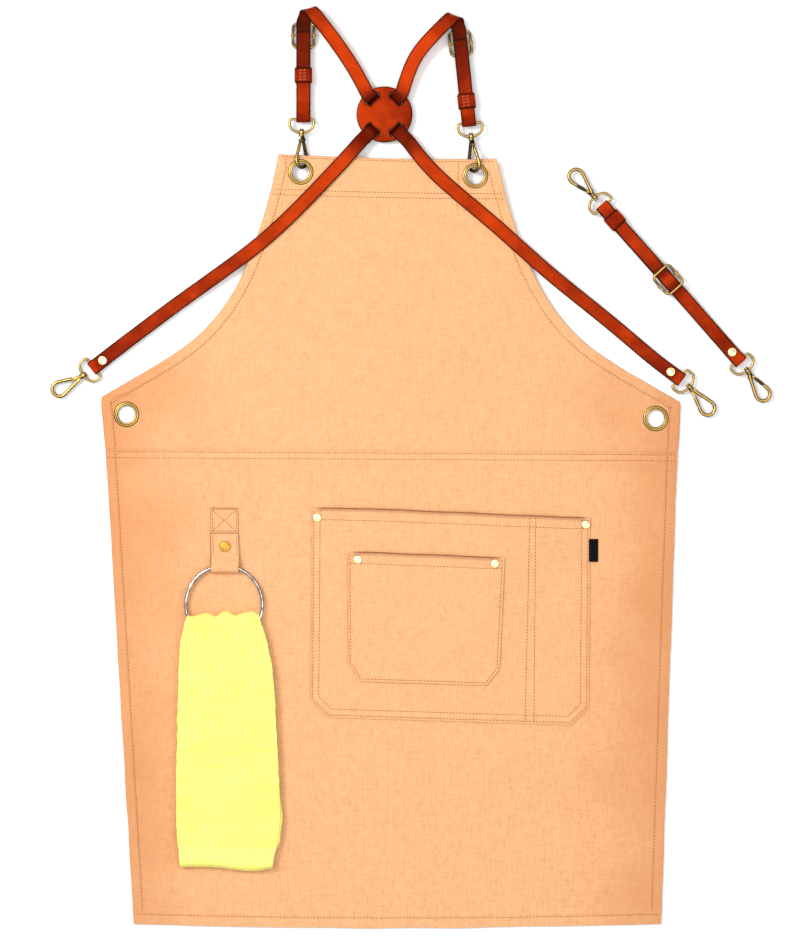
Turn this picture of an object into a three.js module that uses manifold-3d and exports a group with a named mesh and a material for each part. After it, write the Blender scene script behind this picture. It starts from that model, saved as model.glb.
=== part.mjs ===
// A cross-back butcher's apron laid flat: a cloth skirt and bib, two pockets, a towel in its ring, a leather
// harness hooked to the bib and a loose extension strap.
// Millimetres. X runs across the apron, Y towards the bib and Z up off the table. The origin is the middle of the
// cloth, on its underside.

import * as THREE from 'three';
import { mergeVertices } from 'three/addons/utils/BufferGeometryUtils.js';
import Module from 'manifold-3d';

const wasm = await Module();
wasm.setup();

// ---------------------------------------------------------------- driving dimensions

const GAP = 0.3;                // clearance between neighbouring pieces

// cloth
const CLOTH = 1.0;              // thickness of the canvas
const SKIRT_DROP = 556;         // waist seam to hem
const HEM_HALF = 310;           // half widths
const SEAM_HALF = 336;
const WAIST_HALF = 340.5;
const BIB_HALF = 127.5;
const WAIST_RISE = 59.5;        // waist seam to the waist corners
const BIB_HEIGHT = 345;         // waist seam to the top edge
const HEM_BOW = 5;              // the hem hangs lower in the middle
const SEAM_LAP = 12;            // the skirt laps over the bib at the seam
const FACING_DEPTH = 48;        // band behind the bib's top edge
const FACING_CLOTH = 0.6;
const ORIGIN_ABOVE_SEAM = -108;
const LEAN = 0.0126;            // how the cloth was laid: its centre line leans
const SEAM_SLOPE = 0.006;       // and its cross lines slope
const BIB_SLOPE = 0.0225;
const BIB_LIFT = 8.5;           // the hooks hold the bib's top edge up

// eyelets
const EYELET_BORE = 10.2;       // radii
const EYELET_FLANGE = 15;
const BARREL_WALL = 0.6;
const FLANGE_THICK = 0.8;
const WASHER_RADIUS = 14.4;
const WASHER_THICK = 0.6;
const BIB_EYELET_IN = 25;       // in from the bib's corner
const BIB_EYELET_DOWN = 20;     // down from the top edge
const WAIST_EYELET_IN = 29.5;
const WAIST_EYELET_DOWN = 19;

// pockets
const POCKET_CLEAR = 4.6;       // clear depth inside a pocket
const POCKET_AT = [70.5, -73.5];
const POCKET_HALF = 162.4;
const POCKET_DEPTH = 244.5;
const POCKET_CHAMFER = 21;
const POCKET_SLOPE = 0.031;
const DIVIDER_AT = 95.5;        // along the mouth, from the pocket's middle
const DIVIDER_WIDTH = 8;
const POCKET_SEAM = 10;         // width of the sewn rim
const SMALL_AT = [42.7, -122.3];
const SMALL_HALF = 90;
const SMALL_DEPTH = 151;
const SMALL_CHAMFER = 15;
const LABEL_SIZE = [9.8, 27, 0.8];
const LABEL_DOWN = 25;          // below the large pocket's mouth
const RIVET_IN = [6.5, 10.5];   // pocket rivets, in from the side and down from the mouth
const RIVET_CAP = 5.0;
const RIVET_RISE = 1.7;
const RIVET_SHANK = 1.5;

// towel, tab and ring
const TAB_AT = [-196.5, -67];
const TAB_WIDTH = 32.5;
const TAB_REACH = 71.3;         // from the tab's upper end down to the ring's hinge line
const TAB_LOOP = 3.9;           // inner radius of the tab's loop
const TAB_RIVET_DOWN = 46.4;
const TAB_RIVET_CAP = 6.9;
const RING_RADIUS = 45;         // to the middle of the wire
const RING_WIRE = 2.0;
const RING_HANG = 1.5;          // the wire's top lies this far above the hinge line
const RING_TILT = 2.6;          // the towel lifts the ring's lower end
const TOWEL_TOP = 14.8;         // the towel's fold, above the ring's centre towards the waist, is at -this
const TOWEL_PILE = 13.4;        // thickness of the folded towel
const TOWEL_SIDE = [            // how far down from the fold, half widths left and right
  [0, 41, 41], [45, 52, 50], [100, 53, 58], [190, 57, 64], [235, 57.5, 67], [262, 56, 66], [288, 52, 57],
];

// leather
const STRAP = 16.5;             // width
const LEATHER = 2.2;            // thickness
const DISC_RADIUS = 32.9;
const DISC_THICK = 2.3;
const DISC_AT = [-8.2, 49.9];   // from the middle of the bib's top edge
const SLOT_OFF = [14, 18.3];    // the slots, from the disc's middle
const SLOT_TURN = 42;           // degrees
const SLOT_GAP = 5.6;
const KEEPER_LONG = 18;
const KEEPER_WALL = 1.3;
const FOLD_TAIL = 20;           // return of leather under a riveted end
const RIVET_TO_BAR = 13;        // strap-end rivet to the D-ring's bar

// slider
const SLIDER_HALF = [12.3, 14.1];   // across and along the strap, to the middle of the wire
const SLIDER_CORNER = 5;
const SLIDER_WIRE = 1.2;
const SLIDER_BAR = 1.0;
const SLIDER_KNOB = 2.1;

// D-ring and swivel hook
const D_WIRE = 1.4;
const D_HALF = 14;
const D_DEPTH = 15.5;
const D_BOSS = [3.2, 3.4];      // radius and length
const POST = 1.6;
const KNOB = [2.8, 2.4];
const COLLAR = [3.0, 2.8];
const HOOK_REACH = 32.4;        // from the D-ring's boss to the centre of the hook's round end
const HOOK_RADIUS = 8.5;        // round end, to the middle of its section
const HOOK_SECTION = 3.8;
const HOOK_CHAMFER = 1.1;
const HOOK_FLARE = 15.9;        // degrees, each arm to the hook's axis
const HOOK_BASE = 9;            // where the arms leave the base
const HOOK_NOSE = 6;
const GATE_PIN = [9.6, 1.7];
const GATE_WIDTH = 3.4;

// colours
const CANVAS = { color: 0xf0bd8b, roughness: 0.9, metalness: 0 };
const TAN_LEATHER = { color: 0x9c2f12, roughness: 0.4, metalness: 0 };
const BRASS = { color: 0xb08d45, roughness: 0.35, metalness: 1 };
const BRIGHT_BRASS = { color: 0xe9cf86, roughness: 0.2, metalness: 1 };
const CHROME = { color: 0xc9ccd0, roughness: 0.15, metalness: 1 };
const TERRY = { color: 0xfbf86a, roughness: 1, metalness: 0 };
const BLACK_TAPE = { color: 0x151515, roughness: 0.8, metalness: 0 };

// ---------------------------------------------------------------- small tools

const UP = new THREE.Vector3(0, 0, 1);
const vec = (x, y, z = 0) => new THREE.Vector3(x, y, z);
const heading = degrees => vec(Math.cos(THREE.MathUtils.degToRad(degrees)),
  Math.sin(THREE.MathUtils.degToRad(degrees)));
const step = (from, direction, distance, side = 0, rise = 0) => from.clone()
  .addScaledVector(direction, distance)
  .addScaledVector(leftOf(direction), side)
  .addScaledVector(UP, rise);
const leftOf = direction => UP.clone().cross(direction).normalize();

// A closed body from corners and faces, turned so that its faces point out.
function closedBody(corners, faces) {
  let volume = 0;
  for (const [a, b, c] of faces) volume += corners[a].dot(corners[b].clone().cross(corners[c]));
  const outward = volume > 0 ? faces : faces.map(([a, b, c]) => [a, c, b]);
  const body = new THREE.BufferGeometry();
  body.setAttribute('position', new THREE.Float32BufferAttribute(corners.flatMap(p => [p.x, p.y, p.z]), 3));
  body.setIndex(outward.flat());
  return body;
}

function toSolid(geometry) {
  const bare = geometry.clone();
  for (const name of Object.keys(bare.attributes)) if (name !== 'position') bare.deleteAttribute(name);
  const merged = mergeVertices(bare, 1e-4);
  return new wasm.Manifold(new wasm.Mesh({
    numProp: 3,
    vertProperties: new Float32Array(merged.attributes.position.array),
    triVerts: new Uint32Array(merged.index.array),
  }));
}

function toGeometry(solid) {
  const mesh = solid.getMesh();
  const geometry = new THREE.BufferGeometry();
  geometry.setAttribute('position', new THREE.BufferAttribute(new Float32Array(mesh.vertProperties), 3));
  geometry.setIndex(Array.from(mesh.triVerts));
  return geometry;
}

const join = (...pieces) => toGeometry(pieces.map(toSolid).reduce((sum, next) => sum.add(next)));
const cut = (piece, ...cutters) =>
  toGeometry(cutters.map(toSolid).reduce((rest, cutter) => rest.subtract(cutter), toSolid(piece)));

// A slab on a grid of points, rows of equal length, standing up from them by its thickness.
function slab(rows, thickness) {
  const across = rows[0].length;
  const under = rows.flat();
  const corners = [...under, ...under.map(p => p.clone().addScaledVector(UP, thickness))];
  const top = under.length;
  const faces = [];
  for (let r = 0; r + 1 < rows.length; r += 1) {
    for (let c = 0; c + 1 < across; c += 1) {
      const a = r * across + c;
      const quad = [a, a + 1, a + across + 1, a + across];
      faces.push([quad[0], quad[2], quad[1]], [quad[0], quad[3], quad[2]]);
      faces.push([quad[0], quad[1], quad[2]].map(i => i + top), [quad[0], quad[2], quad[3]].map(i => i + top));
    }
  }
  const rim = [];
  for (let c = 0; c < across; c += 1) rim.push(c);
  for (let r = 1; r < rows.length; r += 1) rim.push(r * across + across - 1);
  for (let c = across - 2; c >= 0; c -= 1) rim.push((rows.length - 1) * across + c);
  for (let r = rows.length - 2; r > 0; r -= 1) rim.push(r * across);
  rim.forEach((a, i) => {
    const b = rim[(i + 1) % rim.length];
    faces.push([a, b, b + top], [a, b + top, a + top]);
  });
  return closedBody(corners, faces);
}

// A body swept along stations: each has a point, and two directions that the section's corners are measured in.
function sweep(stations, section, closed = false) {
  const corners = stations.flatMap(({ at, a, b }) =>
    section.map(([p, q]) => at.clone().addScaledVector(a, p).addScaledVector(b, q)));
  const sides = section.length;
  const faces = [];
  const runs = closed ? stations.length : stations.length - 1;
  for (let i = 0; i < runs; i += 1) {
    const here = i * sides;
    const next = ((i + 1) % stations.length) * sides;
    for (let k = 0; k < sides; k += 1) {
      const m = (k + 1) % sides;
      faces.push([here + k, here + m, next + m], [here + k, next + m, next + k]);
    }
  }
  if (!closed) {
    const last = (stations.length - 1) * sides;
    for (let k = 1; k + 1 < sides; k += 1) {
      faces.push([0, k + 1, k], [last, last + k, last + k + 1]);
    }
  }
  return closedBody(corners, faces);
}

// A closed ring of wire through points that never run straight up.
function wireRing(points, radius, sides) {
  const section = Array.from({ length: sides }, (_, k) => {
    const turn = (k + 0.5) / sides * 2 * Math.PI;
    return [radius * Math.cos(turn), radius * Math.sin(turn)];
  });
  const count = points.length;
  const stations = points.map((at, i) => {
    const along = points[(i + 1) % count].clone().sub(points[(i + count - 1) % count]).normalize();
    const a = along.clone().cross(UP).normalize();
    return { at, a, b: a.clone().cross(along) };
  });
  return sweep(stations, section, true);
}

// A strap of leather or cloth along stations that each have a point and a direction across the strap.
function ribbon(stations, width, thickness) {
  const section = [[-0.5, -0.5], [0.5, -0.5], [0.5, 0.5], [-0.5, 0.5]].map(([p, q]) => [p * width, q * thickness]);
  const framed = stations.map(({ at, across }, i) => {
    const before = stations[Math.max(i - 1, 0)].at;
    const after = stations[Math.min(i + 1, stations.length - 1)].at;
    const along = after.clone().sub(before).normalize();
    return { at, a: across, b: across.clone().cross(along).normalize() };
  });
  return sweep(framed, section);
}

function rod(radius, from, to, sides = 16) {
  const along = to.clone().sub(from);
  const geometry = new THREE.CylinderGeometry(radius, radius, along.length(), sides);
  geometry.applyQuaternion(new THREE.Quaternion().setFromUnitVectors(vec(0, 1), along.clone().normalize()));
  return geometry.translate(...from.clone().add(to).multiplyScalar(0.5).toArray());
}

function turned(profile, sides) {
  const points = [...profile, profile[0]].map(([r, z]) => new THREE.Vector2(r, z));
  return new THREE.LatheGeometry(points, sides).rotateX(Math.PI / 2);
}

function plate(outline, low, high) {
  const shape = new THREE.Shape(outline.map(([x, y]) => new THREE.Vector2(x, y)));
  return new THREE.ExtrudeGeometry(shape, { depth: high - low, bevelEnabled: false }).translate(0, 0, low);
}

const box = (low, high) => new THREE.BoxGeometry(high[0] - low[0], high[1] - low[1], high[2] - low[2])
  .translate((low[0] + high[0]) / 2, (low[1] + high[1]) / 2, (low[2] + high[2]) / 2);

const apron = new THREE.Group();
apron.position.y = -ORIGIN_ABOVE_SEAM;
function add(name, geometry, finish, parent = apron) {
  const mesh = new THREE.Mesh(geometry, new THREE.MeshStandardMaterial(finish));
  mesh.name = name;
  parent.add(mesh);
  return mesh;
}

// ---------------------------------------------------------------- the cloth and how it lies

const bibTilt = Math.asin(BIB_LIFT / (BIB_HEIGHT + SEAM_LAP));
const bib = new THREE.Group();
bib.position.y = -SEAM_LAP;
bib.rotation.x = bibTilt;
apron.add(bib);

// Pattern coordinates to the laid cloth: the centre line leans and the cross lines slope.
function laid(x, y) {
  const slope = y > 0
    ? THREE.MathUtils.lerp(SEAM_SLOPE, BIB_SLOPE, Math.min(y / BIB_HEIGHT, 1))
    : SEAM_SLOPE * Math.max(0, 1 + y / SKIRT_DROP);
  return [x - LEAN * y, y - slope * x];
}

// A laid point in the bib's own frame, and a point at a height over the bib in the apron's frame.
const inBib = ([x, y], z = 0) => vec(x, y + SEAM_LAP, z);
const overBib = ([x, y], height = 0) => inBib([x, y], height)
  .applyAxisAngle(vec(1, 0), bibTilt)
  .add(vec(0, -SEAM_LAP));

const armhole = new THREE.CubicBezierCurve(
  new THREE.Vector2(WAIST_HALF, WAIST_RISE),
  new THREE.Vector2(WAIST_HALF - 111, WAIST_RISE + 66),
  new THREE.Vector2(BIB_HALF + 47, BIB_HEIGHT - 212),
  new THREE.Vector2(BIB_HALF, BIB_HEIGHT),
);
const armholePoints = armhole.getPoints(18);

function clothHalf(y) {
  if (y <= 0) return THREE.MathUtils.lerp(SEAM_HALF, HEM_HALF, -y / SKIRT_DROP);
  if (y <= WAIST_RISE) return THREE.MathUtils.lerp(SEAM_HALF, WAIST_HALF, y / WAIST_RISE);
  const i = armholePoints.findIndex(p => p.y >= y);
  if (i < 1) return BIB_HALF;
  const [low, high] = [armholePoints[i - 1], armholePoints[i]];
  return THREE.MathUtils.mapLinear(y, low.y, high.y, low.x, high.x);
}

function clothRow(y, height, columns, inset = 0, place = (point, z) => vec(...point, z)) {
  const half = clothHalf(y) - inset;
  return Array.from({ length: columns }, (_, c) => {
    const x = THREE.MathUtils.lerp(-half, half, c / (columns - 1));
    const bow = HEM_BOW * (1 - (x / half) ** 2) * THREE.MathUtils.clamp(-y / SKIRT_DROP, 0, 1) ** 4;
    return place(laid(x, y - bow), height);
  });
}

const EYELET_HOLE = EYELET_BORE + BARREL_WALL + GAP;
const eyeletPlaces = {
  left_bib: laid(-BIB_HALF + BIB_EYELET_IN, BIB_HEIGHT - BIB_EYELET_DOWN),
  right_bib: laid(BIB_HALF - BIB_EYELET_IN, BIB_HEIGHT - BIB_EYELET_DOWN),
  left_waist: laid(-WAIST_HALF + WAIST_EYELET_IN, WAIST_RISE - WAIST_EYELET_DOWN),
  right_waist: laid(WAIST_HALF - WAIST_EYELET_IN, WAIST_RISE - WAIST_EYELET_DOWN),
};
const eyeletCutters = Object.values(eyeletPlaces)
  .map(place => rod(EYELET_HOLE, inBib(place, -5), inBib(place, 5), 24));

function addBib() {
  const straight = [-SEAM_LAP, 0, WAIST_RISE];
  const curved = armholePoints.slice(1).map(p => p.y);
  const rows = [...straight, ...curved].map(y => clothRow(y, 0, 2, 0, inBib));
  add('bib_panel', cut(slab(rows, CLOTH), ...eyeletCutters), CANVAS, bib);

  const facingRows = [1 - FACING_DEPTH, -FACING_DEPTH / 2, -1]
    .map(y => clothRow(BIB_HEIGHT + y, -GAP - FACING_CLOTH, 2, 1, inBib));
  add('bib_facing', cut(slab(facingRows, FACING_CLOTH), ...eyeletCutters.slice(0, 2)), CANVAS, bib);
}

function addEyelets() {
  for (const [name, place] of Object.entries(eyeletPlaces)) {
    const washerTop = name.endsWith('bib') ? -2 * GAP - FACING_CLOTH : -GAP;
    const washerLow = washerTop - WASHER_THICK;
    const barrel = EYELET_BORE + BARREL_WALL;
    const flangeTop = CLOTH + GAP + FLANGE_THICK;
    const chamfer = FLANGE_THICK / 2;
    const eyelet = turned([
      [EYELET_BORE, washerLow], [barrel, washerLow], [barrel, CLOTH + GAP], [EYELET_FLANGE, CLOTH + GAP],
      [EYELET_FLANGE, flangeTop - chamfer], [EYELET_FLANGE - chamfer, flangeTop], [EYELET_BORE, flangeTop],
    ], 24);
    const washer = turned([
      [EYELET_HOLE, washerLow], [WASHER_RADIUS, washerLow], [WASHER_RADIUS, washerTop], [EYELET_HOLE, washerTop],
    ], 24);
    add(`${name}_eyelet`, eyelet, BRASS, bib).position.copy(inBib(place));
    add(`${name}_washer`, washer, BRASS, bib).position.copy(inBib(place));
  }
}

// ---------------------------------------------------------------- skirt and pockets

const skirtFront = CLOTH + GAP;
const pocketFront = skirtFront + POCKET_CLEAR + CLOTH;
const smallLow = pocketFront + GAP;
const smallFront = smallLow + POCKET_CLEAR + CLOTH;

const sloped = ([atX, atY], slope) => (x, y) => [atX + x, atY + y - slope * x];
const onLarge = sloped(POCKET_AT, POCKET_SLOPE);
const onSmall = sloped(SMALL_AT, POCKET_SLOPE);
const largeRivets = [-1, 1].map(side => onLarge(side * (POCKET_HALF - RIVET_IN[0]), -RIVET_IN[1]));
const smallRivets = [-1, 1].map(side => onSmall(side * (SMALL_HALF - RIVET_IN[0] - 2), -RIVET_IN[1]));
const rivetHole = ([x, y], low, high) => rod(RIVET_SHANK + GAP, vec(x, y, low), vec(x, y, high), 10);

function addSkirt() {
  const lapLift = BIB_LIFT * SEAM_LAP / (BIB_HEIGHT + SEAM_LAP) + CLOTH + GAP;
  const rows = [
    clothRow(-SKIRT_DROP, 0, 9),
    clothRow(-SKIRT_DROP * 0.7, 0, 9),
    clothRow(-SEAM_LAP - 10, 0, 9),
    clothRow(-SEAM_LAP - 1, lapLift, 9),
    clothRow(0, lapLift, 9),
  ];
  const holes = largeRivets.map(place => rivetHole(place, -1, CLOTH + 1));
  const tabRivet = rivetHole([TAB_AT[0], TAB_AT[1] - TAB_RIVET_DOWN], -1, CLOTH + 1);
  add('skirt_panel', cut(slab(rows, CLOTH), ...holes, tabRivet), CANVAS);
}

// A pocket sewn down on three sides: a front wall on a rim, open behind and at the mouth.
function pocket(place, half, depth, chamfer, low, dividers, holes) {
  const outline = (inset, mouth) => [
    [-half + inset, mouth], [-half + inset, -depth + chamfer], [-half + chamfer, -depth + inset],
    [half - chamfer, -depth + inset], [half - inset, -depth + chamfer], [half - inset, mouth],
  ].map(([x, y]) => place(x, y));
  const front = low + POCKET_CLEAR;
  const blank = plate(outline(0, 0), low, front + CLOTH);
  const ribs = dividers.map(x => {
    const [left, right] = [x - DIVIDER_WIDTH / 2, x + DIVIDER_WIDTH / 2];
    return plate([place(left, 0), place(left, -depth + 1), place(right, -depth + 1), place(right, 0)],
      low, front);
  });
  const hollow = cut(plate(outline(POCKET_SEAM, 5), low - 1, front), ...ribs);
  return cut(blank, hollow, ...holes);
}

function addPockets() {
  const bigHoles = largeRivets.map(place => rivetHole(place, 0, pocketFront + 1));
  const smallHoles = smallRivets.map(place => rivetHole(place, 0, smallFront + 1));
  const throughWall = smallRivets.map(place => rivetHole(place, pocketFront - CLOTH - 0.5, pocketFront + 1));
  add('large_pocket', pocket(onLarge, POCKET_HALF, POCKET_DEPTH, POCKET_CHAMFER, skirtFront, [DIVIDER_AT],
    [...bigHoles, ...throughWall]), CANVAS);
  add('small_pocket', pocket(onSmall, SMALL_HALF, SMALL_DEPTH, SMALL_CHAMFER, smallLow, [], smallHoles), CANVAS);

  const [labelX, labelY] = onLarge(POCKET_HALF + GAP, -LABEL_DOWN);
  add('side_label', box([labelX, labelY - LABEL_SIZE[1], skirtFront],
    [labelX + LABEL_SIZE[0], labelY, skirtFront + LABEL_SIZE[2]]), BLACK_TAPE);

  const rivet = (name, [x, y], seat, shankEnd, cap = RIVET_CAP) => {
    const low = seat + GAP;
    const profile = [[0, shankEnd], [RIVET_SHANK, shankEnd], [RIVET_SHANK, low], [cap, low],
      [cap, low + RIVET_RISE * 0.5], [cap * 0.7, low + RIVET_RISE * 0.9], [0, low + RIVET_RISE]];
    add(name, turned(profile, 16), BRIGHT_BRASS).position.set(x, y, 0);
  };
  rivet('large_pocket_rivet_left', largeRivets[0], pocketFront, GAP);
  rivet('large_pocket_rivet_right', largeRivets[1], pocketFront, GAP);
  rivet('small_pocket_rivet_left', smallRivets[0], smallFront, pocketFront - CLOTH);
  rivet('small_pocket_rivet_right', smallRivets[1], smallFront, pocketFront - CLOTH);
  rivet('towel_tab_rivet', [TAB_AT[0], TAB_AT[1] - TAB_RIVET_DOWN], skirtFront + 2 * CLOTH + GAP, GAP,
    TAB_RIVET_CAP);
}

// ---------------------------------------------------------------- towel tab, ring and towel

const hingeY = TAB_AT[1] - TAB_REACH;
const hingeZ = skirtFront + CLOTH + TAB_LOOP;
const ringCentre = vec(TAB_AT[0], hingeY + RING_HANG - RING_RADIUS, hingeZ);
const ringPoints = radius => Array.from({ length: 40 }, (_, i) => {
  const turn = i / 40 * 2 * Math.PI;
  const [x, y] = [radius * Math.cos(turn), radius * Math.sin(turn)];
  return ringCentre.clone().add(vec(x, y, RING_TILT * (1 - y / RING_RADIUS) / 2));
});

function addTowelSide() {
  const across = vec(1, 0);
  const fold = TAB_LOOP + CLOTH / 2;
  const inner = skirtFront + CLOTH / 2;
  const outer = inner + CLOTH + GAP;
  const at = (y, z) => ({ at: vec(TAB_AT[0], y, z), across });
  const loop = Array.from({ length: 11 }, (_, i) => {
    const turn = (i / 10 - 0.5) * Math.PI;
    return at(hingeY - fold * Math.cos(turn), hingeZ + fold * Math.sin(turn));
  });
  const rivetY = TAB_AT[1] - TAB_RIVET_DOWN;
  const stations = [at(TAB_AT[1], inner), at(hingeY + 2, inner), ...loop,
    at(rivetY - TAB_RIVET_CAP - 1, outer + 0.4), at(rivetY - TAB_RIVET_CAP, outer), at(TAB_AT[1], outer)];
  const hole = rivetHole([TAB_AT[0], rivetY], 0, outer + CLOTH + 2);
  add('towel_tab', cut(ribbon(stations, TAB_WIDTH, CLOTH), hole), CANVAS);

  add('towel_ring', wireRing(ringPoints(RING_RADIUS), RING_WIRE, 8), CHROME);

  const foldY = ringCentre.y - TOWEL_TOP;
  const outline = [
    ...TOWEL_SIDE.map(([down, left]) => [ringCentre.x - left, foldY - down]),
    ...TOWEL_SIDE.map(([down, , right]) => [ringCentre.x + right, foldY - down]).reverse(),
  ];
  const pile = plate(outline, skirtFront, skirtFront + TOWEL_PILE);
  const channel = wireRing(ringPoints(RING_RADIUS), RING_WIRE + 2 * GAP, 8);
  add('towel', cut(pile, channel), TERRY);
}

// ---------------------------------------------------------------- leather harness

// The strip of bib between an eyelet and the top edge sits in the middle of each upper hook's round end.
const barZ = overBib([0, BIB_HEIGHT], CLOTH / 2 - (GAP + FACING_CLOTH) / 2).z - GAP;
const hookCentre = place => {
  const [x, y] = place;
  const rim = y + EYELET_BORE;
  const edge = BIB_HEIGHT - BIB_SLOPE * x;
  return vec(x, (rim + edge) / 2 - 4 * GAP, barZ);
};
const foldRadius = D_WIRE + 0.2 + LEATHER / 2;

const uprights = {
  left: { towards: 90, hook: hookCentre(eyeletPlaces.left_bib).add(vec(1.2, 0)), side: 2,
    keeper: 51.7, slider: 98.9, turnAt: 120.5, turnShift: 2.4, turnLean: 80, crease: 15,
    arrival: -59.6, arch: 0 },
  right: { towards: 96, hook: hookCentre(eyeletPlaces.right_bib).add(vec(-1.5, 0)), side: -1,
    keeper: 26.3, slider: 95.2, turnAt: 117.5, turnShift: -1.2, turnLean: 94.5, crease: 159,
    arrival: -113, arch: -1.5 },
};
const longZ = 2 * SLIDER_WIRE + 0.2 + GAP + LEATHER / 2;           // the long layer, over the slider's end bars
const barOverZ = longZ + LEATHER / 2 + GAP + SLIDER_BAR;           // the slider's centre bar
const returnZ = barOverZ + SLIDER_BAR + GAP + LEATHER / 2;         // the return layer, over the centre bar
const TURN_RADIUS = 7;

const discMiddle = vec(DISC_AT[0], BIB_HEIGHT + DISC_AT[1]);
const discLow = 2 * (LEATHER + GAP) + GAP + 0.4;
const discTop = discLow + DISC_THICK;
const overDisc = discTop + GAP + LEATHER / 2;
const underZ = { left: 0.5 + LEATHER / 2, right: 0.5 + LEATHER * 1.5 + GAP };

const slotAt = (sideX, sideY) => discMiddle.clone().add(vec(sideX * SLOT_OFF[0], sideY * SLOT_OFF[1]));
// Which way a strap runs through a slot, going from the upper slots down to the opposite lower ones.
const slotRun = (sideX, sideY) => heading(-90 + (sideX * sideY > 0 ? -1 : 1) * (90 - SLOT_TURN - 3));

// Points spaced along a smooth curve, each with the level direction across the strap.
function alongCurve(points, spacing) {
  const curve = new THREE.CatmullRomCurve3(points, false, 'centripetal');
  const count = Math.max(2, Math.round(curve.getLength() / spacing));
  return curve.getSpacedPoints(count).map((at, i) => {
    const along = curve.getTangentAt(i / count).setZ(0).normalize();
    return { at, across: UP.clone().cross(along) };
  });
}

function foldOver(centre, outwards, across, fromDegrees, toDegrees) {
  return Array.from({ length: 9 }, (_, i) => {
    const turn = THREE.MathUtils.degToRad(THREE.MathUtils.lerp(fromDegrees, toDegrees, i / 8));
    return { at: step(centre, outwards, foldRadius * Math.cos(turn), 0, foldRadius * Math.sin(turn)), across };
  });
}

// How a strap drops through an upper slot and comes back up through the opposite lower one.
const SLOT_DROP = [[-5, 1], [-2.3, 0.97], [-0.7, 0.64], [0.7, 0.34], [2.1, 0.03], [5, 0]];
function throughDisc(name) {
  const sideX = name === 'left' ? -1 : 1;
  const low = underZ[name];
  const stations = [];
  const place = (slot, run, distance, share) => stations.push({
    at: step(slot, run, distance).setZ(THREE.MathUtils.lerp(low, overDisc, share)),
    across: UP.clone().cross(run),
  });
  const [upper, lower] = [slotAt(sideX, 1), slotAt(-sideX, -1)];
  const [runIn, runOut] = [slotRun(sideX, 1), slotRun(-sideX, -1)];
  for (const [distance, share] of SLOT_DROP) place(upper, runIn, distance, share);
  for (const [distance, share] of [...SLOT_DROP].reverse()) place(lower, runOut, -distance, share);
  return stations;
}

const uprightFrame = name => {
  const { towards, hook } = uprights[name];
  const along = heading(towards);
  const bar = step(hook, along, HOOK_REACH + D_DEPTH);
  return { along, bar, strapBar: step(bar, along, 0, -uprights[name].side) };
};

function shoulderStrap(name) {
  const { slider, turnAt, turnShift, turnLean, crease, arrival, arch } = uprights[name];
  const { along, strapBar } = uprightFrame(name);
  const across = along.clone().cross(UP);
  const level = (distance, z) => ({ at: step(strapBar, along, distance).setZ(z), across });
  const stations = [level(slider + 4, returnZ), level(slider - 20, returnZ), level(10, returnZ),
    level(4, barZ + foldRadius)];
  stations.push(...foldOver(strapBar, along.clone().negate(), across, 90, -90));
  stations.push(level(4, barZ - foldRadius), level(10, longZ), level(slider - 20, longZ),
    level(slider + 16, longZ));

  // The strap goes over itself at the shoulder, round a slanting crease.
  const start = step(strapBar, along, turnAt, -turnShift).setZ(longZ);
  const incoming = heading(turnLean);
  const creaseLine = heading(crease);
  const outwards = creaseLine.clone().multiplyScalar(-incoming.dot(creaseLine)).add(incoming);
  const climb = outwards.length();
  outwards.normalize();
  const creep = incoming.dot(creaseLine) / climb;
  let end;
  for (let i = 0; i <= 12; i += 1) {
    const turn = i / 12 * Math.PI;
    const at = start.clone()
      .addScaledVector(creaseLine, creep * turn * TURN_RADIUS)
      .addScaledVector(outwards, Math.sin(turn) * TURN_RADIUS)
      .addScaledVector(UP, (1 - Math.cos(turn)) * TURN_RADIUS);
    const tangent = creaseLine.clone().multiplyScalar(creep)
      .addScaledVector(outwards, Math.cos(turn)).addScaledVector(UP, Math.sin(turn)).normalize();
    const inwards = outwards.clone().multiplyScalar(-Math.sin(turn)).addScaledVector(UP, Math.cos(turn));
    stations.push({ at, across: tangent.cross(inwards).normalize() });
    end = at;
  }
  const leaving = creaseLine.clone().multiplyScalar(2 * incoming.dot(creaseLine)).sub(incoming);

  const disc = throughDisc(name);
  const first = disc[0].at;
  const into = disc[1].at.clone().sub(first).setZ(0).normalize();
  const arriving = heading(arrival);
  const drop = distance => THREE.MathUtils.lerp(end.z, overDisc, distance);
  const diagonal = alongCurve([
    end,
    step(end, leaving, 14).setZ(drop(0.12)),
    step(first, arriving, -48, arch).setZ(drop(0.5)),
    step(first, arriving, -20).setZ(drop(0.9)),
    step(first, into, -4).setZ(overDisc + 0.1),
    first,
  ], 11);
  stations.push(...diagonal.slice(1, -1), ...disc);
  const last = disc[disc.length - 1].at;
  const out = last.clone().sub(disc[disc.length - 2].at).setZ(0).normalize();
  stations.push({ at: step(last, out, 2), across: disc[disc.length - 1].across });
  return { stations, end: step(last, out, 2), out };
}

// A back strap from the disc to its riveted end beside the waist, over the bib and then down to the table.
const TABLE_Z = foldRadius + LEATHER / 2 + 0.2;
const backRoutes = {
  left: { end: [-WAIST_HALF + 1, WAIST_RISE + 46.6], towards: 217.8,
    bends: [[0.08, 4], [0.17, 8.3], [0.33, 14.4], [0.44, 15.5], [0.59, 11.5], [0.73, 6.3], [0.88, 2.6]] },
  right: { end: [WAIST_HALF - 12.5, WAIST_RISE + 33.2], towards: -36.5,
    bends: [[0.12, -8], [0.22, -8.6], [0.37, -7], [0.57, -7.4], [0.77, -3.4], [0.88, -2.4]] },
};

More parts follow.
